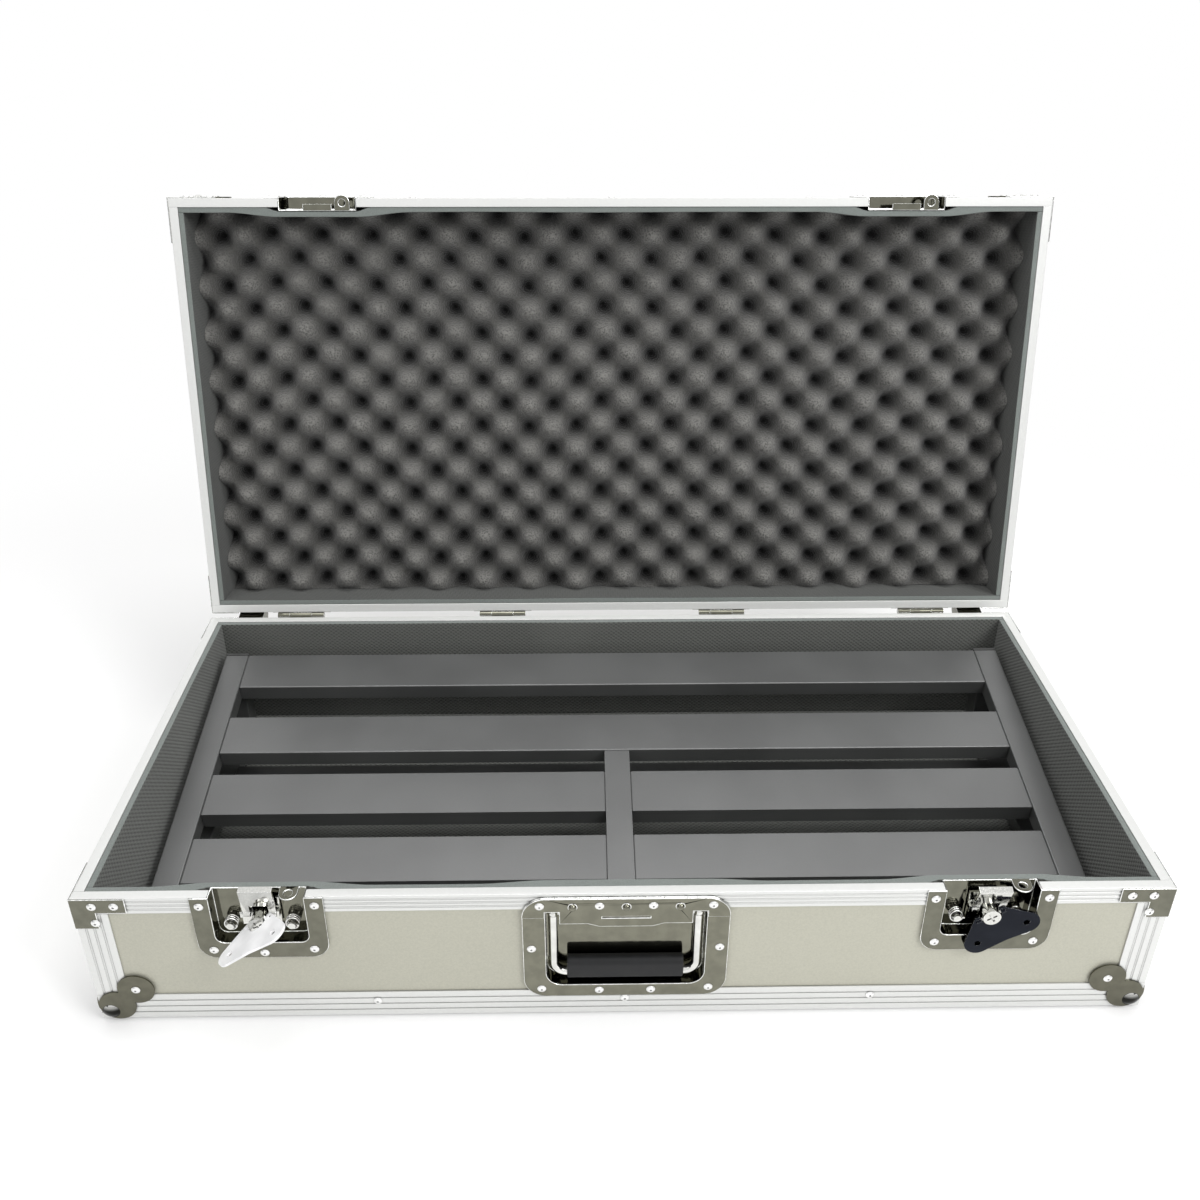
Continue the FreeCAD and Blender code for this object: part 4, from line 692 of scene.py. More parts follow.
# The two leaves are one pressed part: the left is painted light as if lit from above, the right painted dark
# as a reflection of dark surroundings.
LEAF_PAINTED_DARK = BrushedLeaf("leaf_painted_dark_reflection", (0.017, 0.019, 0.025), 0.14)
LEAF_PAINTED_LIT = BrushedLeaf("leaf_painted_lit", (0.93, 0.932, 0.94), 0.34, 0.1)
LINING_EDGE = CutFoam("lining_cut_edge", (0.16, 0.178, 0.168), 900.0, 0.0002, 0.12)
BASE_LINING = EmbossedLining()
LID_LINING = EmbossedLining("lid_embossed_lining", (0.07, 0.073, 0.068))
# The egg-crate foam gets painted shade in its hollows, down to deep_left of its tone.
EGG_CRATE = CutFoam("egg_crate_foam", (0.118, 0.116, 0.109), 520.0, 0.0012, 0.6, 0.02)
GRIP = Rubber("grip_rubber", (0.008, 0.0085, 0.0095), 0.5)
FEET = Rubber("foot_rubber", (0.022, 0.022, 0.023), 0.6)
CAPS = Rubber("cap_rubber", (0.05, 0.051, 0.05), 0.5)


@cache
def paint(finish: Finish) -> bpy.types.Material:
    """The finish's material, made once."""
    return finish.make()


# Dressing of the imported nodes


@dataclass(frozen=True)
class Coat:
    """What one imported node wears: its finish, and how round its edges are.

    A free coat rounds every edge by its full width. Any other stops where two rounded edges meet.
    """

    finish: Finish
    edge_round: float = 0.0
    edge_finish: Finish | None = None
    edge_angle: float = math.radians(35)
    segments: int = 2
    join_gap: float = 0.00002
    flat_weight: int = 60
    free: bool = False

    def put_on(self, node: str, piece: bpy.types.Object) -> None:
        """Give a node its materials and its rounded edges.

        Args:
            node: the node's name, for the log.
            piece: the node's object.
        """
        mesh = piece.data
        mesh.materials.clear()
        mesh.materials.append(paint(self.finish))
        if self.edge_finish is not None:
            mesh.materials.append(paint(self.edge_finish))
        if self.edge_round > 0:
            self.round_edges(piece)
        log.info("dressed %s in %s", node, self.finish.name)

    def round_edges(self, piece: bpy.types.Object) -> None:
        """Join the node's split corners, round its edges and shade its faces as flat sheets.

        Args:
            piece: the node's object.
        """
        mesh = piece.data
        normals = mesh.attributes.get("custom_normal")
        if normals is not None:
            mesh.attributes.remove(normals)
        mesh.polygons.foreach_set("use_smooth", [True] * len(mesh.polygons))
        weld = piece.modifiers.new("joined_corners", "WELD")
        weld.merge_threshold = self.join_gap
        bevel = piece.modifiers.new("rounded_edges", "BEVEL")
        bevel.width = self.edge_round
        bevel.segments = self.segments
        bevel.limit_method = "ANGLE"
        bevel.angle_limit = self.edge_angle
        bevel.use_clamp_overlap = not self.free
        bevel.loop_slide = True
        # Rounded edges take the edge finish; on the metal pieces that is a painted highlight.
        if self.edge_finish is not None:
            bevel.material = len(mesh.materials) - 1
        flat = piece.modifiers.new("flat_faces", "WEIGHTED_NORMAL")
        flat.keep_sharp = False
        flat.weight = self.flat_weight


@dataclass
class DressedPart:
    """Base of every sub-assembly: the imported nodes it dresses."""

    nodes: dict[str, bpy.types.Object]

    def wear(self, coat: Coat, *names: str) -> None:
        """Put one coat on the named nodes."""
        for name in names:
            coat.put_on(name, self.nodes[name])


@dataclass
class CaseShell(DressedPart):
    """Panels and strips of the base or of the lid."""

    shell: Shell
    panel_round: float = 0.0004
    strip_round: float = 0.0005

    def build(self) -> None:
        """Dress the panels and the strips of this half."""
        half = self.shell.value
        flat_panel = "base_floor_panel" if self.shell is Shell.BASE else "lid_top_panel"
        panels = (flat_panel, f"{half}_front_panel", f"{half}_rear_panel", f"{half}_side_panels")
        self.wear(Coat(Laminate(), self.panel_round), *panels)
        kinds = ("rim_strip_front", "rim_strip_rear", "rim_strip_sides", "edge_strips", "corner_strips")
        self.wear(Coat(BrightStrip(), self.strip_round), *(f"{half}_{kind}" for kind in kinds))


@dataclass(frozen=True)
class Swing:
    """Turns the lid's points from the shut lid to the open one, about the hinge."""

    hinge_y: float = 0.2145
    hinge_z: float = 0.1342
    open_angle: float = math.radians(101.4)

    def turned(self, points: np.ndarray, angle: float) -> np.ndarray:
        """Points turned about the hinge's axis.

        Args:
            points: places with x, y and z on the last axis.
            angle: the turn about X.

        Returns:
            The turned places.
        """
        cosine, sine = math.cos(angle), math.sin(angle)
        back, rise = points[..., 1] - self.hinge_y, points[..., 2] - self.hinge_z
        y = self.hinge_y + cosine * back - sine * rise
        z = self.hinge_z + sine * back + cosine * rise
        return np.stack([points[..., 0], y, z], -1)

    def opened(self, points: np.ndarray) -> np.ndarray:
        """Places on the open lid of points that are given on the shut one."""
        return self.turned(points, -self.open_angle)

    def shut(self, points: np.ndarray) -> np.ndarray:
        """Places on the shut lid of points that are given on the open one."""
        return self.turned(points, self.open_angle)


@dataclass
class CornerHardware(DressedPart):
    """Rim braces, ball corners and rivets of one half.

    Each ball is worn flat by a little at its far end: its foot on the base, its top on the lid.
    """

    shell: Shell
    swing: Swing
    plate_round: float = 0.0005
    ball_radius: float = 0.012
    worn: float = 0.0003

    def ball_centres(self, piece: bpy.types.Object) -> tuple[Place, ...]:
        """Centres of the four balls, in the piece's own places.

        Args:
            piece: the node of the ball corners.

        Returns:
            The four centres.
        """
        points = np.array([piece.matrix_world @ vertex.co for vertex in piece.data.vertices])
        rise = self.ball_radius - self.worn
        if self.shell is Shell.LID:
            points = self.swing.shut(points)
            height = points[:, 2].max() - rise
        else:
            height = points[:, 2].min() + rise
        wide, deep = np.abs(points[:, :2]).max(0) - self.ball_radius
        centres = np.array([(x * wide, y * deep, height) for x in (-1, 1) for y in (-1, 1)])
        if self.shell is Shell.LID:
            centres = self.swing.opened(centres)
        inverse = piece.matrix_world.inverted()
        return tuple(tuple(inverse @ Vector(centre)) for centre in centres)

    def build(self) -> None:
        """Dress the braces, the ball corners and the rivets."""
        half = self.shell.value
        self.wear(Coat(PLATE, self.plate_round, EDGE, free=True), f"{half}_rim_braces")
        centres = self.ball_centres(self.nodes[f"{half}_ball_corners"])
        self.wear(Coat(BallNickel(f"{half}_ball_nickel", centres)), f"{half}_ball_corners")
        self.wear(Coat(RIVET), f"{half}_rivets")


@dataclass
class Hinges(DressedPart):
    """Hinge leaves, pins and the lid stops on the rear."""

    leaf_round: float = 0.0003

    def build(self) -> None:
        """Dress the hinges and the stops."""
        plate = Coat(PLATE, self.leaf_round, EDGE)
        self.wear(plate, "base_hinge_leaves", "lid_hinge_leaves", "lid_stop_brackets", "lid_stop_plates")
        self.wear(Coat(LATCH_WORKS), "hinge_pins")


@dataclass
class Latch(DressedPart):
    """One butterfly latch: its dishes, slider, hook, cam and leaf."""

    side: Side
    dish_round: float = 0.00055
    works_round: float = 0.0003

    def build(self) -> None:
        """Dress the latch."""
        end = self.side.name.lower()
        dish = Coat(PLATE, self.dish_round, EDGE, free=True)
        self.wear(dish, f"latch_dish_{end}", f"keeper_dish_{end}")
        works = Coat(LATCH_WORKS, self.works_round, EDGE)
        self.wear(works, f"latch_slider_{end}", f"latch_hook_{end}", f"latch_cam_{end}")
        # Painted light: the left leaf wears the lit copy, the right the dark copy.
        leaf = LEAF_PAINTED_LIT if self.side is Side.LEFT else LEAF_PAINTED_DARK
        self.wear(Coat(leaf, self.works_round, EDGE), f"latch_leaf_{end}")


@dataclass
class LatchSprings(DressedPart):
    """Springs and posts of both latches."""

    def build(self) -> None:
        """Dress the springs and their posts."""
        self.wear(Coat(SPRING), "latch_springs")
        self.wear(Coat(LATCH_WORKS), "latch_spring_posts")


# Meshes of the modelled pieces


def added(name: str, data: bpy.types.ID) -> bpy.types.Object:
    """Put a mesh, a lamp or a camera in the scene.

    Args:
        name: name of its object.
        data: what the object holds.

    Returns:
        The object.
    """
    piece = bpy.data.objects.new(name, data)
    bpy.context.scene.collection.objects.link(piece)
    return piece


def meshed(name: str, points: list, faces: list, *finishes: bpy.types.Material) -> bpy.types.Object:
    """Put a new mesh in the scene.

    Args:
        name: name of the mesh and of its object.
        points: places of its points.
        faces: each face's points, by their order.
        finishes: the materials that it wears, in the order of their slots.

    Returns:
        The mesh's object.
    """
    mesh = bpy.data.meshes.new(name)
    mesh.from_pydata(points, [], faces)
    for material in finishes:
        mesh.materials.append(material)
    return added(name, mesh)


def crossing_waves(first: np.ndarray, second: np.ndarray, *waves: Wave) -> np.ndarray:
    """Sine waves that run across a sheet in different directions, multiplied together.

    Args:
        first: places along the sheet.
        second: places up the sheet.
        waves: each wave's radians to the metre along and up the sheet, and its start.

    Returns:
        The product at each place.
    """
    product = np.ones(first.shape)
    for along, up, start in waves:
        product = product * np.sin(first * along + second * up + start)
    return product


def grid_faces(rows: int, columns: int, start: int, turned: bool) -> list[tuple[int, int, int, int]]:
    """Faces of a grid of points that is stored row by row.

    Args:
        rows: rows of points.
        columns: points in a row.
        start: index of the first point.
        turned: whether the faces look the other way.

    Returns:
        One tuple of four indexes for each face.
    """
    faces = []
    for row in range(rows - 1):
        for column in range(columns - 1):
            first = start + row * columns + column
            corners = (first, first + 1, first + columns + 1, first + columns)
            faces.append(corners[::-1] if turned else corners)
    return faces


def level_grid(half_wide: float, half_deep: float, step: float) -> tuple[np.ndarray, np.ndarray]:
    """A level grid of points about the middle of the case.

    Args:
        half_wide: how far it reaches each way across the case.
        half_deep: how far it reaches to the front and to the back.
        step: the space between its points.

    Returns:
        The points' places across the case, and from front to back.
    """
    x = np.linspace(-half_wide, half_wide, round(2 * half_wide / step) + 1)
    y = np.linspace(-half_deep, half_deep, round(2 * half_deep / step) + 1)
    across, back = np.meshgrid(x, y)
    return across, back


def border(rows: int, columns: int) -> list[int]:
    """Indexes of a grid's border points, once round, in the order of the grid's own faces.

    Args:
        rows: rows of points.
        columns: points in a row.

    Returns:
        The border points' indexes.
    """
    foot = list(range(columns))
    far = [row * columns + columns - 1 for row in range(1, rows)]
    top = [(rows - 1) * columns + column for column in range(columns - 2, -1, -1)]
    near = [row * columns for row in range(rows - 2, 0, -1)]
    return foot + far + top + near


@dataclass(frozen=True)
class Slab:
    """A sheet between two grids of points: a shown face, a hidden back and a cut edge all round."""

    name: str
    face: np.ndarray
    back: np.ndarray
    flat: np.ndarray
    face_finish: Finish
    edge_finish: Finish
    split_edge: bool = False

    def make(self) -> bpy.types.Object:
        """Build the slab's mesh with its two finishes and its places in metres as UV.

        Returns:
            The slab's object, linked to the scene.
        """
        rows, columns = self.face.shape[:2]
        count = rows * columns
        points = [self.face.reshape(-1, 3), self.back.reshape(-1, 3)]
        places = [self.flat.reshape(-1, 2), self.flat.reshape(-1, 2)]
        faces = grid_faces(rows, columns, 0, False) + grid_faces(rows, columns, count, True)
        shown = len(faces)
        ring = border(rows, columns)
        front_ring, back_ring = ring, [count + index for index in ring]
        if self.split_edge:
            points += [points[0][ring], points[1][ring]]
            places += [places[0][ring], places[1][ring]]
            front_ring = [2 * count + order for order in range(len(ring))]
            back_ring = [2 * count + len(ring) + order for order in range(len(ring))]
        for order in range(len(ring)):
            after = (order + 1) % len(ring)
            faces.append((front_ring[after], front_ring[order], back_ring[order], back_ring[after]))
        finishes = (paint(self.face_finish), paint(self.edge_finish))
        piece = meshed(self.name, np.concatenate(points).tolist(), faces, *finishes)
        mesh = piece.data
        mesh.polygons.foreach_set("material_index", [0] * shown + [1] * (len(faces) - shown))
        mesh.polygons.foreach_set("use_smooth", [True] * len(faces))
        corners = np.empty(len(mesh.loops), dtype=np.int32)
        mesh.loops.foreach_get("vertex_index", corners)
        layer = mesh.uv_layers.new(name="sheet_place")
        layer.data.foreach_set("uv", np.concatenate(places)[corners].astype(np.float32).ravel())
        mesh.update()
        return piece


def eased(value: np.ndarray) -> np.ndarray:
    """The value held between 0 and 1, with a soft start and end."""
    held = np.clip(value, 0, 1)
    return held * held * (3 - 2 * held)


@dataclass(frozen=True)
class Bulge:
    """A place where a recess of the hardware outside pushes a wall lining inward."""

    middle: float
    half: float
    foot: float
    top: float
    push: float
    tray: float
    back_run: float = 0.014
    face_run: float = 0.05

    def share(self, along: np.ndarray, up: np.ndarray, run: float) -> np.ndarray:
        """How fully the lining is pushed in at each point.

        Args:
            along: places along the wall.
            up: heights.
            run: length over which the push dies away.

        Returns:
            The share at each point, 1 over the recess and 0 away from it.
        """
        side = eased((self.half + run - np.abs(along - self.middle)) / run)
        ends = eased((up - self.foot + run) / run) * eased((self.top + run - up) / run)
        return side * ends


@dataclass(frozen=True)
class WallSheet:
    """One wall's lining: where it lies, how large it is, and what pushes it in."""

    name: str
    corner: Place
    along: Place
    inward: Place
    length: float
    low: float
    high: float
    finish: EmbossedLining
    bulges: tuple[Bulge, ...] = ()
    thick: float = 0.005
    step: float = 0.004
    wave_depth: float = 0.0005
    waves: tuple[Wave, ...] = ((23.0, 11.0, 0.0), (7.3, 0.0, -1.1), (3.1, 31.0, 0.0))
    end_calm: float = 0.25

    def slab(self) -> Slab:
        """Points of the lining on the shut case, as a slab.

        Returns:
            The slab, with its shown face turned inward.
        """
        across = np.linspace(0, self.length, round(self.length / self.step) + 1)
        heights = np.linspace(self.low, self.high, round(abs(self.high - self.low) / self.step) + 1)
        run, up = np.meshgrid(across, heights)
        along, inward, corner = np.array(self.along), np.array(self.inward), np.array(self.corner)
        base = corner + run[..., None] * along
        base[..., 2] = up
        middle = base @ np.abs(along)
        depth = np.full(run.shape, self.thick)
        behind = np.zeros(run.shape)
        for bulge in self.bulges:
            depth += bulge.push * bulge.share(middle, up, bulge.face_run)
            behind += bulge.tray * bulge.share(middle, up, bulge.back_run)
        inside = np.sin(np.pi * np.clip(run / self.length, 0, 1)) ** self.end_calm
        depth += self.wave_depth * crossing_waves(run, up, *self.waves) * inside
        face = base + depth[..., None] * inward
        flat = np.stack([run, up], -1)
        back = base + behind[..., None] * inward
        return Slab(self.name, face, back, flat, self.finish, LINING_EDGE)


@dataclass
class Linings:
    """Lining sheets of the base and the lid, on the walls and on the base's floor."""

    swing: Swing
    inner_x: float = 0.42
    inner_y: float = 0.2025
    thick: float = 0.005
    floor_low: float = 0.0114
    floor_high: float = 0.0154
    base_top: float = 0.1334
    lid_foot: float = 0.135
    lid_top: float = 0.206
    latch_place: float = 0.286
    tray_half: float = 0.0377
    tray_foot: float = 0.087
    well_half: float = 0.0648
    well_foot: float = 0.035
    well_top: float = 0.119
    keeper_top: float = 0.1594
    latch_push: float = 0.0042
    well_push: float = 0.0036
    latch_tray: float = 0.0039
    well_tray: float = 0.0045
    soft_round: float = 0.0007
    soft_angle: float = math.radians(55)
    floor_step: float = 0.006
    floor_sag: float = 0.00025
    floor_waves: tuple[Wave, ...] = ((19.0, 0.0, 1.0), (0.0, 23.0, 2.0))

    def trays(self, foot: float, top: float) -> tuple[Bulge, ...]:
        """The two latches' bulges in a front wall.

        Args:
            foot: lower end of the trays.
            top: upper end of the trays.

        Returns:
            One bulge for each latch.
        """
        middles = [side.value * self.latch_place for side in Side]
        shape = (self.tray_half, foot, top, self.latch_push, self.latch_tray)
        return tuple(Bulge(middle, *shape) for middle in middles)

    def walls(self, shell: Shell, low: float, high: float, bulges: tuple[Bulge, ...]) -> list[WallSheet]:
        """The four wall sheets of one half, as on the shut case.

        Args:
            shell: base or lid.
            low: foot of the sheets.
            high: top of the sheets.
            bulges: what pushes the front one in.

        Returns:
            Front, rear, left and right sheet.
        """
        name = f"{shell.value}_lining"
        x, y = self.inner_x, self.inner_y
        ends = y - self.thick
        right, back = (1.0, 0.0, 0.0), (0.0, 1.0, 0.0)
        left, front = (-1.0, 0.0, 0.0), (0.0, -1.0, 0.0)
        wide = (2 * x, low, high, BASE_LINING if shell is Shell.BASE else LID_LINING)
        deep = (2 * ends, *wide[1:])
        return [
            WallSheet(f"{name}_front", (-x, -y, low), right, back, *wide, bulges),
            WallSheet(f"{name}_rear", (-x, y, low), right, front, *wide),
            WallSheet(f"{name}_left", (-x, -ends, low), back, right, *deep),
            WallSheet(f"{name}_right", (x, -ends, low), back, left, *deep),
        ]

    def finish_piece(self, piece: bpy.types.Object, body: str, node: str) -> None:
        """Round a sheet's edges and fix it to its body.

        Args:
            piece: the sheet.
            body: the body it moves with.
            node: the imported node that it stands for.
        """
        Coat(BASE_LINING, self.soft_round, edge_angle=self.soft_angle).round_edges(piece)
        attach(piece, body)
        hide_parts(node)
        log.info("built %s", piece.name)

    def turned_out(self, piece: bpy.types.Object, inward: Vector) -> None:
        """Flip a sheet's faces where they look away from the way inward."""
        if piece.data.polygons[0].normal.dot(inward) < 0:
            piece.data.flip_normals()

    def build_base(self) -> None:
        """Build the base's floor sheet and wall sheets."""
        bulges = self.trays(self.tray_foot, self.base_top + self.thick)
        bulges += (Bulge(0.0, self.well_half, self.well_foot, self.well_top, self.well_push, self.well_tray),)
        for wall in self.walls(Shell.BASE, self.floor_high, self.base_top, bulges):
            piece = wall.slab().make()
            self.turned_out(piece, Vector(wall.inward))
            self.finish_piece(piece, "base", "base_wall_liners")
        across, back = level_grid(self.inner_x, self.inner_y, self.floor_step)
        sag = self.floor_sag * (1 + crossing_waves(across, back, *self.floor_waves))
        face = np.stack([across, back, self.floor_high - sag], -1)
        under = np.stack([across, back, np.full(across.shape, self.floor_low)], -1)
        flat = np.stack([across, back], -1)
        floor = Slab("base_lining_floor", face, under, flat, BASE_LINING, LINING_EDGE).make()
        self.finish_piece(floor, "base", "base_floor_liner")

    def build_lid(self) -> None:
        """Build the lid's wall sheets, open as the lid stands."""
        bulges = self.trays(self.lid_foot - self.thick, self.keeper_top)
        for wall in self.walls(Shell.LID, self.lid_foot, self.lid_top, bulges):
            shut = wall.slab()
            face, back = self.swing.opened(shut.face), self.swing.opened(shut.back)
            piece = replace(shut, face=face, back=back).make()
            inward = self.swing.opened(np.array([wall.inward])) - self.swing.opened(np.zeros((1, 3)))
            self.turned_out(piece, Vector(inward[0]))
            self.finish_piece(piece, "lid", "lid_wall_liners")


@dataclass
class EggCrateFoam:
    """Convoluted foam that fills the lid: staggered rounded peaks and small deep hollows."""

    swing: Swing
    half_wide: float = 0.4147
    half_deep: float = 0.1972
    backing: float = 0.206
    low: float = 0.011
    high: float = 0.046
    pitch_x: float = 0.0506
    pitch_y: float = 0.0484
    hollow_x: float = -0.011
    hollow_y: float = -0.0066
    roundness: float = 0.72
    warp: float = 0.0016
    uneven: float = 0.035
    step: float = 0.0032

    def heights(self, x: np.ndarray, y: np.ndarray) -> np.ndarray:
        """Height of the foam above its backing.

        Args:
            x: places across the lid.
            y: places up the lid, as on the shut case.

        Returns:
            The height at each place.
        """
        # Slow waves, in radians to the metre, move the peaks a little and make some lower than others
        along = x + self.warp * np.sin(y * 31 + 0.7) + self.warp * np.sin(x * 9.1 + y * 13)
        deep = y + self.warp * np.sin(x * 17 + 0.3) + self.warp * np.cos(x * 41 - y * 7)
        wave = np.cos(math.tau * (along - self.hollow_x) / self.pitch_x)
        wave = wave * np.cos(math.tau * (deep - self.hollow_y) / self.pitch_y)
        raised = np.clip(0.5 - 0.5 * wave, 0, 1) ** self.roundness
        level = 1 - self.uneven * (1 + np.sin(x * 53 + y * 37)) * (1 + np.cos(y * 61 - x * 29)) / 2
        return self.low + (self.high - self.low) * raised * level

    def build(self) -> None:
        """Build the foam on the open lid."""
        across, deep = level_grid(self.half_wide, self.half_deep, self.step)
        heights = self.heights(across, deep)
        face = self.swing.opened(np.stack([across, deep, self.backing - heights], -1))
        back = self.swing.opened(np.stack([across, deep, np.full(across.shape, self.backing)], -1))
        flat = np.stack([across, deep], -1)
        piece = Slab("lid_foam", face, back, flat, EGG_CRATE, EGG_CRATE, split_edge=True).make()
        piece.data.flip_normals()
        # The rise, 0 in the hollows and 1 on the crests, drives the foam's painted shade.
        rise = (heights.ravel() - self.low) / (self.high - self.low)
        values = np.ones(len(piece.data.vertices), dtype=np.float32)
        values[:rise.size] = rise
        layer = piece.data.attributes.new(RISE, "FLOAT", "POINT")
        layer.data.foreach_set("value", values)
        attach(piece, "lid")
        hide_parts("lid_egg_crate_foam")
        log.info("built %s", piece.name)


@dataclass
class Handle(DressedPart):
    """Recessed spring handle: dish, pivot bracket, bail, springs and the moulded grip."""

    grip_half: float = 0.047
    grip_radius: float = 0.0058
    grip_y: float = -0.2059
    grip_low: float = 0.046
    grip_high: float = 0.0565
    end_round: float = 0.0016
    end_steps: int = 5
    around: int = 24
    stations: int = 40
    swell: float = 0.00012
    swell_rate: float = 900.0
    dish_round: float = 0.00055

    def section(self, inset: float) -> list[tuple[float, float]]:
        """Outline of the grip across its length.

        Args:
            inset: how far the outline is drawn in.

        Returns:
            Places in Y and Z, once round.
        """
        radius = self.grip_radius - inset
        points = []
        for middle, start in ((self.grip_high, 0.0), (self.grip_low, math.pi)):
            for order in range(self.around + 1):
                angle = start + math.pi * order / self.around
                points.append((self.grip_y + radius * math.cos(angle), middle + radius * math.sin(angle)))
        return points

    def build_grip(self) -> None:
        """Build the grip with softly rounded ends."""
        turns = [math.pi / 2 * order / self.end_steps for order in range(self.end_steps + 1)]
        insets = [self.end_round * (1 - math.sin(turn)) for turn in turns]
        depths = [self.end_round * (1 - math.cos(turn)) for turn in turns]
        ends = list(zip(insets, depths))
        straight = self.grip_half - self.end_round
        runs = [float(x) for x in np.linspace(-straight, straight, self.stations)]
        spans = [(-self.grip_half + depth, inset) for inset, depth in ends]
        spans += [(x, self.swell * (1 - math.cos(x * self.swell_rate)) / 2) for x in runs[1:-1]]
        spans += [(self.grip_half - depth, inset) for inset, depth in reversed(ends)]
        points = [(x, y, z) for x, inset in spans for y, z in self.section(inset)]
        faces = []
        count = len(points) // len(spans)
        for row in range(len(spans) - 1):
            for order in range(count):
                after = (order + 1) % count
                first, second = row * count + order, row * count + after
                faces.append((first, second, second + count, first + count))
        faces.append(tuple(range(count))[::-1])
        faces.append(tuple(range(len(points) - count, len(points))))
        piece = meshed("handle_moulded_grip", points, faces, paint(GRIP))
        piece.data.polygons.foreach_set("use_smooth", [True] * len(faces))
        piece.data.update()
        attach(piece, "handle")
        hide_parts("handle_grip")
        log.info("built %s", piece.name)

    def build(self) -> None:
        """Dress the handle's metal and build its grip."""
        plate = Coat(HANDLE_PLATE, self.dish_round, EDGE, free=True)
        self.wear(plate, "handle_dish", "handle_pivot_bracket")
        self.wear(Coat(HANDLE_ROD), "handle_bail")
        self.wear(Coat(SPRING), "handle_springs")
        self.build_grip()


@dataclass
class PedalBoard(DressedPart):
    """Sloping board of black rails with its legs, feet and end caps."""

    rail_round: float = 0.0012
    rubber_round: float = 0.0006

    def build(self) -> None:
        """Dress the board."""
        kinds = ("side_rails", "cross_rails", "centre_brace", "bottom_rails", "rear_legs", "lower_rail")
        rails = Coat(SatinBlack(), self.rail_round, segments=3)
        self.wear(rails, *(f"board_{kind}" for kind in kinds))
        self.wear(Coat(FEET, self.rubber_round), "board_feet")
        self.wear(Coat(CAPS, self.rubber_round), "board_end_caps")


# Studio


@dataclass(frozen=True)
class Softbox:
    """One soft lamp: where it hangs, what it faces, and how bright its face is."""

    name: str
    place: Place
    wide: float
    tall: float
    radiance: float
    target: Place = (0.0, 0.0, 0.1)

    def hang(self) -> None:
        """Add the lamp to the scene."""
        lamp = bpy.data.lights.new(self.name, "AREA")
        lamp.shape = "RECTANGLE"
        lamp.size = self.wide
        lamp.size_y = self.tall
        lamp.energy = self.radiance * math.pi * self.wide * self.tall
        piece = added(self.name, lamp)
        piece.location = self.place
        away = Vector(self.target) - Vector(self.place)
        piece.rotation_euler = away.to_track_quat("-Z", "Y").to_euler()


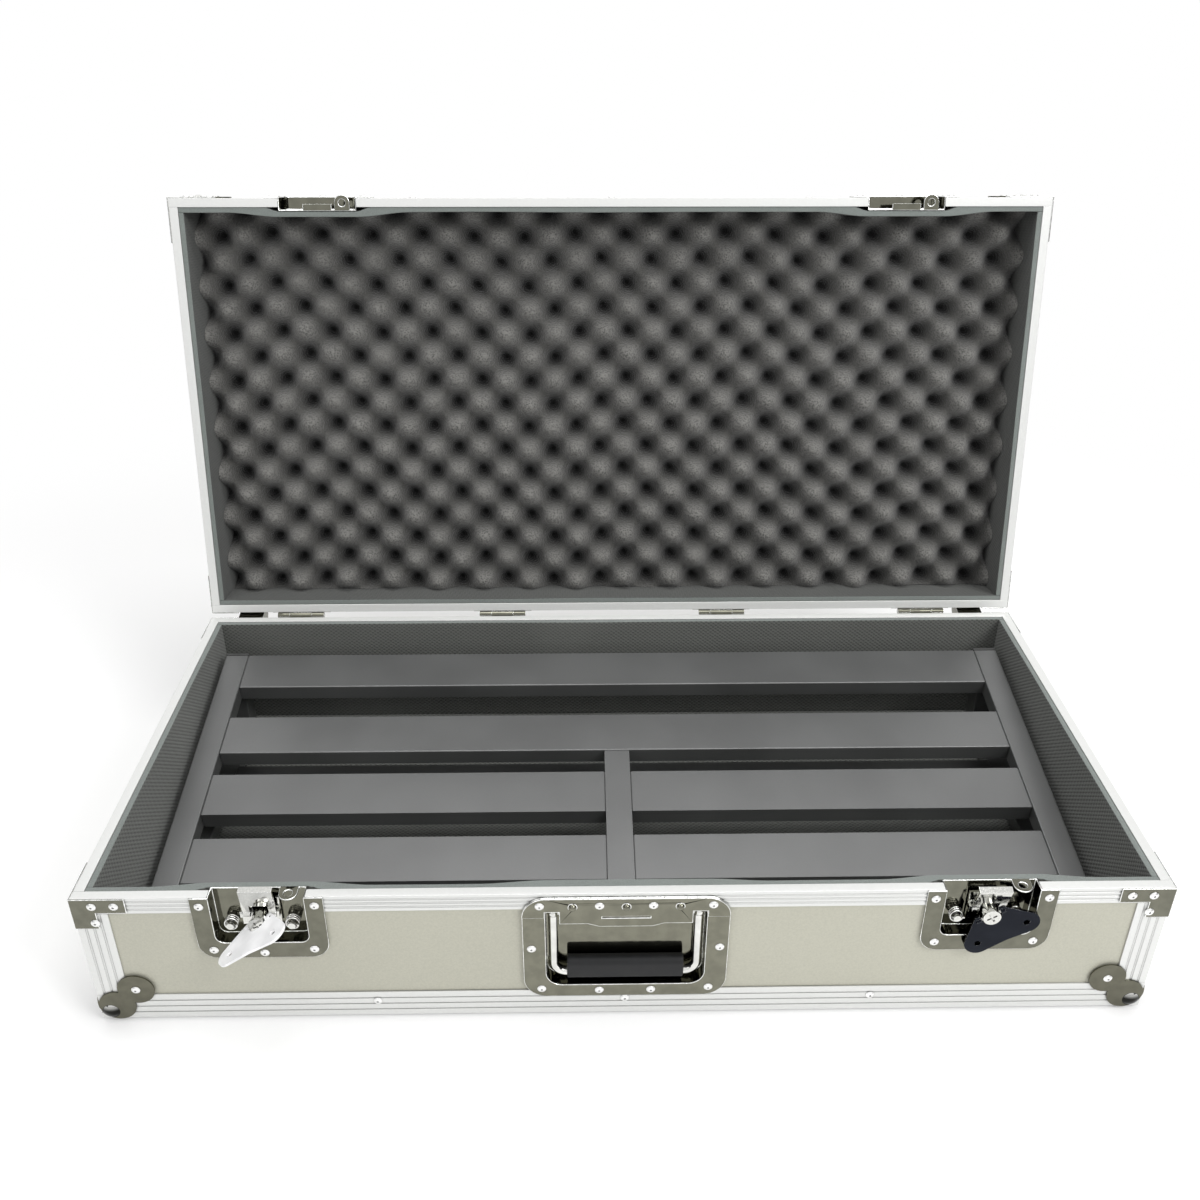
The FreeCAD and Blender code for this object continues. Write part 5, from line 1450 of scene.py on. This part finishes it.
@dataclass
class Studio:
    """White sweep, soft lamps and the camera of the photograph."""

    eye: Place = (-0.0348, -0.9048, 0.7959)
    forward: Place = (0.0168, 0.8663, -0.4993)
    right: Place = (0.99984, -0.0178, 0.0027)
    lens: float = 36.15
    sensor: float = 36.0
    ambient: float = 0.6
    band_radius: float = 2.8
    band_low: float = 0.05
    band_high: float = 1.9
    band_reach: float = math.radians(50)
    band_steps: int = 16
    band_tone: Colour = (0.02, 0.02, 0.02)
    floor_half: float = 4.0
    floor_tone: Colour = (0.97, 0.97, 0.97)
    floor_fade: Range = (0.7, 1.3)
    floor_glow: float = 0.25
    lamps: tuple[Softbox, ...] = (
        Softbox("lamp_right", (1.6, -1.3, 1.9), 1.1, 1.1, 9.0),
        Softbox("lamp_top", (0.0, 0.1, 2.4), 1.8, 0.9, 5.5),
        Softbox("lamp_left", (-1.7, -1.4, 1.4), 0.7, 1.0, 1.6),
    )

    def build_world(self) -> None:
        """White to the camera and to reflections, softer to everything else."""
        world = bpy.data.worlds.new("white_studio")
        sheet = NodeSheet(world)
        level = sheet.feed(sheet.node("ShaderNodeMapRange"), Value=sheet.shown(), To_Min=self.ambient)
        light = sheet.feed(sheet.node("ShaderNodeBackground"), Color=WHITE, Strength=level.outputs[0])
        sheet.feed(sheet.node("ShaderNodeOutputWorld"), Surface=light.outputs[0])
        bpy.context.scene.world = world

    def floor_material(self) -> bpy.types.Material:
        """White floor that keeps the shadow near the case and fades to plain white away from it.

        Returns:
            The material.
        """
        sheet = FinishSheet("white_sweep")
        sheet.surface(Base_Color=self.floor_tone, Roughness=0.9, Specular_IOR_Level=0.1)
        split = sheet.feed(sheet.node("ShaderNodeVectorMath", operation="LENGTH"), in0=sheet.place())
        away = sheet.spread(split.outputs["Value"], *self.floor_fade, self.floor_glow)
        glow = sheet.feed(sheet.node("ShaderNodeEmission"), Color=WHITE, Strength=1.0)
        mix = sheet.feed(sheet.node("ShaderNodeMixShader"), in0=sheet.product(away, sheet.shown()))
        sheet.feed(mix, in1=sheet.shader.outputs["BSDF"], in2=glow.outputs[0])
        sheet.feed(sheet.output, Surface=mix.outputs[0])
        return sheet.material

    def build_floor(self) -> None:
        """Lay the floor under the case."""
        half = self.floor_half
        corners = [(-half, -half, 0), (half, -half, 0), (half, half, 0), (-half, half, 0)]
        meshed("studio_floor", corners, [(0, 1, 2, 3)], self.floor_material())

    def build_band(self) -> None:
        """Stand a curved dark cloth at each side of the set, which only mirror-bright metal shows."""
        points, faces = [], []
        for side in Side:
            for order in range(self.band_steps + 1):
                angle = self.band_reach * (2 * order / self.band_steps - 1)
                place = (side.value * self.band_radius * math.cos(angle), self.band_radius * math.sin(angle))
                if order:
                    last = len(points)
                    faces.append((last - 2, last, last + 1, last - 1))
                points += [(*place, self.band_low), (*place, self.band_high)]
        sheet = FinishSheet("dark_band_cloth")
        folds = sheet.noise(sheet.place(), scale=8.0)
        sheet.surface(Base_Color=sheet.shade(self.band_tone, folds, left=(0.8, 1.2)))
        band = meshed("dark_band", points, faces, sheet.material)
        for kind in ("camera", "diffuse", "shadow", "transmission"):
            setattr(band, f"visible_{kind}", False)

    def build_camera(self) -> None:
        """Place the camera where the photograph was taken."""
        ahead = Vector(self.forward).normalized()
        side = (Vector(self.right) - Vector(self.right).dot(ahead) * ahead).normalized()
        up = side.cross(ahead)
        camera = bpy.data.cameras.new("photo_camera")
        camera.lens = self.lens
        camera.sensor_width = self.sensor
        piece = added("photo_camera", camera)
        turn = Matrix((side, up, -ahead)).transposed()
        piece.matrix_world = Matrix.Translation(self.eye) @ turn.to_4x4()
        bpy.context.scene.camera = piece

    def build(self) -> None:
        """Set up the whole studio."""
        bpy.context.scene.view_settings.view_transform = "Standard"
        self.build_world()
        self.build_floor()
        self.build_band()
        for lamp in self.lamps:
            lamp.hang()
        self.build_camera()
        log.info("built the studio with %d lamps", len(self.lamps))


def main() -> None:
    """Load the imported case, dress it, build its soft pieces and set up the studio."""
    logging.basicConfig(level=logging.INFO, format="%(name)s: %(message)s")
    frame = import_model()
    nodes = frame["nodes"]
    swing = Swing()
    for shell in Shell:
        CaseShell(nodes, shell).build()
        CornerHardware(nodes, shell, swing).build()
    Hinges(nodes).build()
    for side in Side:
        Latch(nodes, side).build()
    LatchSprings(nodes).build()
    Handle(nodes).build()
    PedalBoard(nodes).build()
    linings = Linings(swing)
    linings.build_base()
    linings.build_lid()
    EggCrateFoam(swing).build()
    Studio().build()


if __name__ == "__main__":
    main()
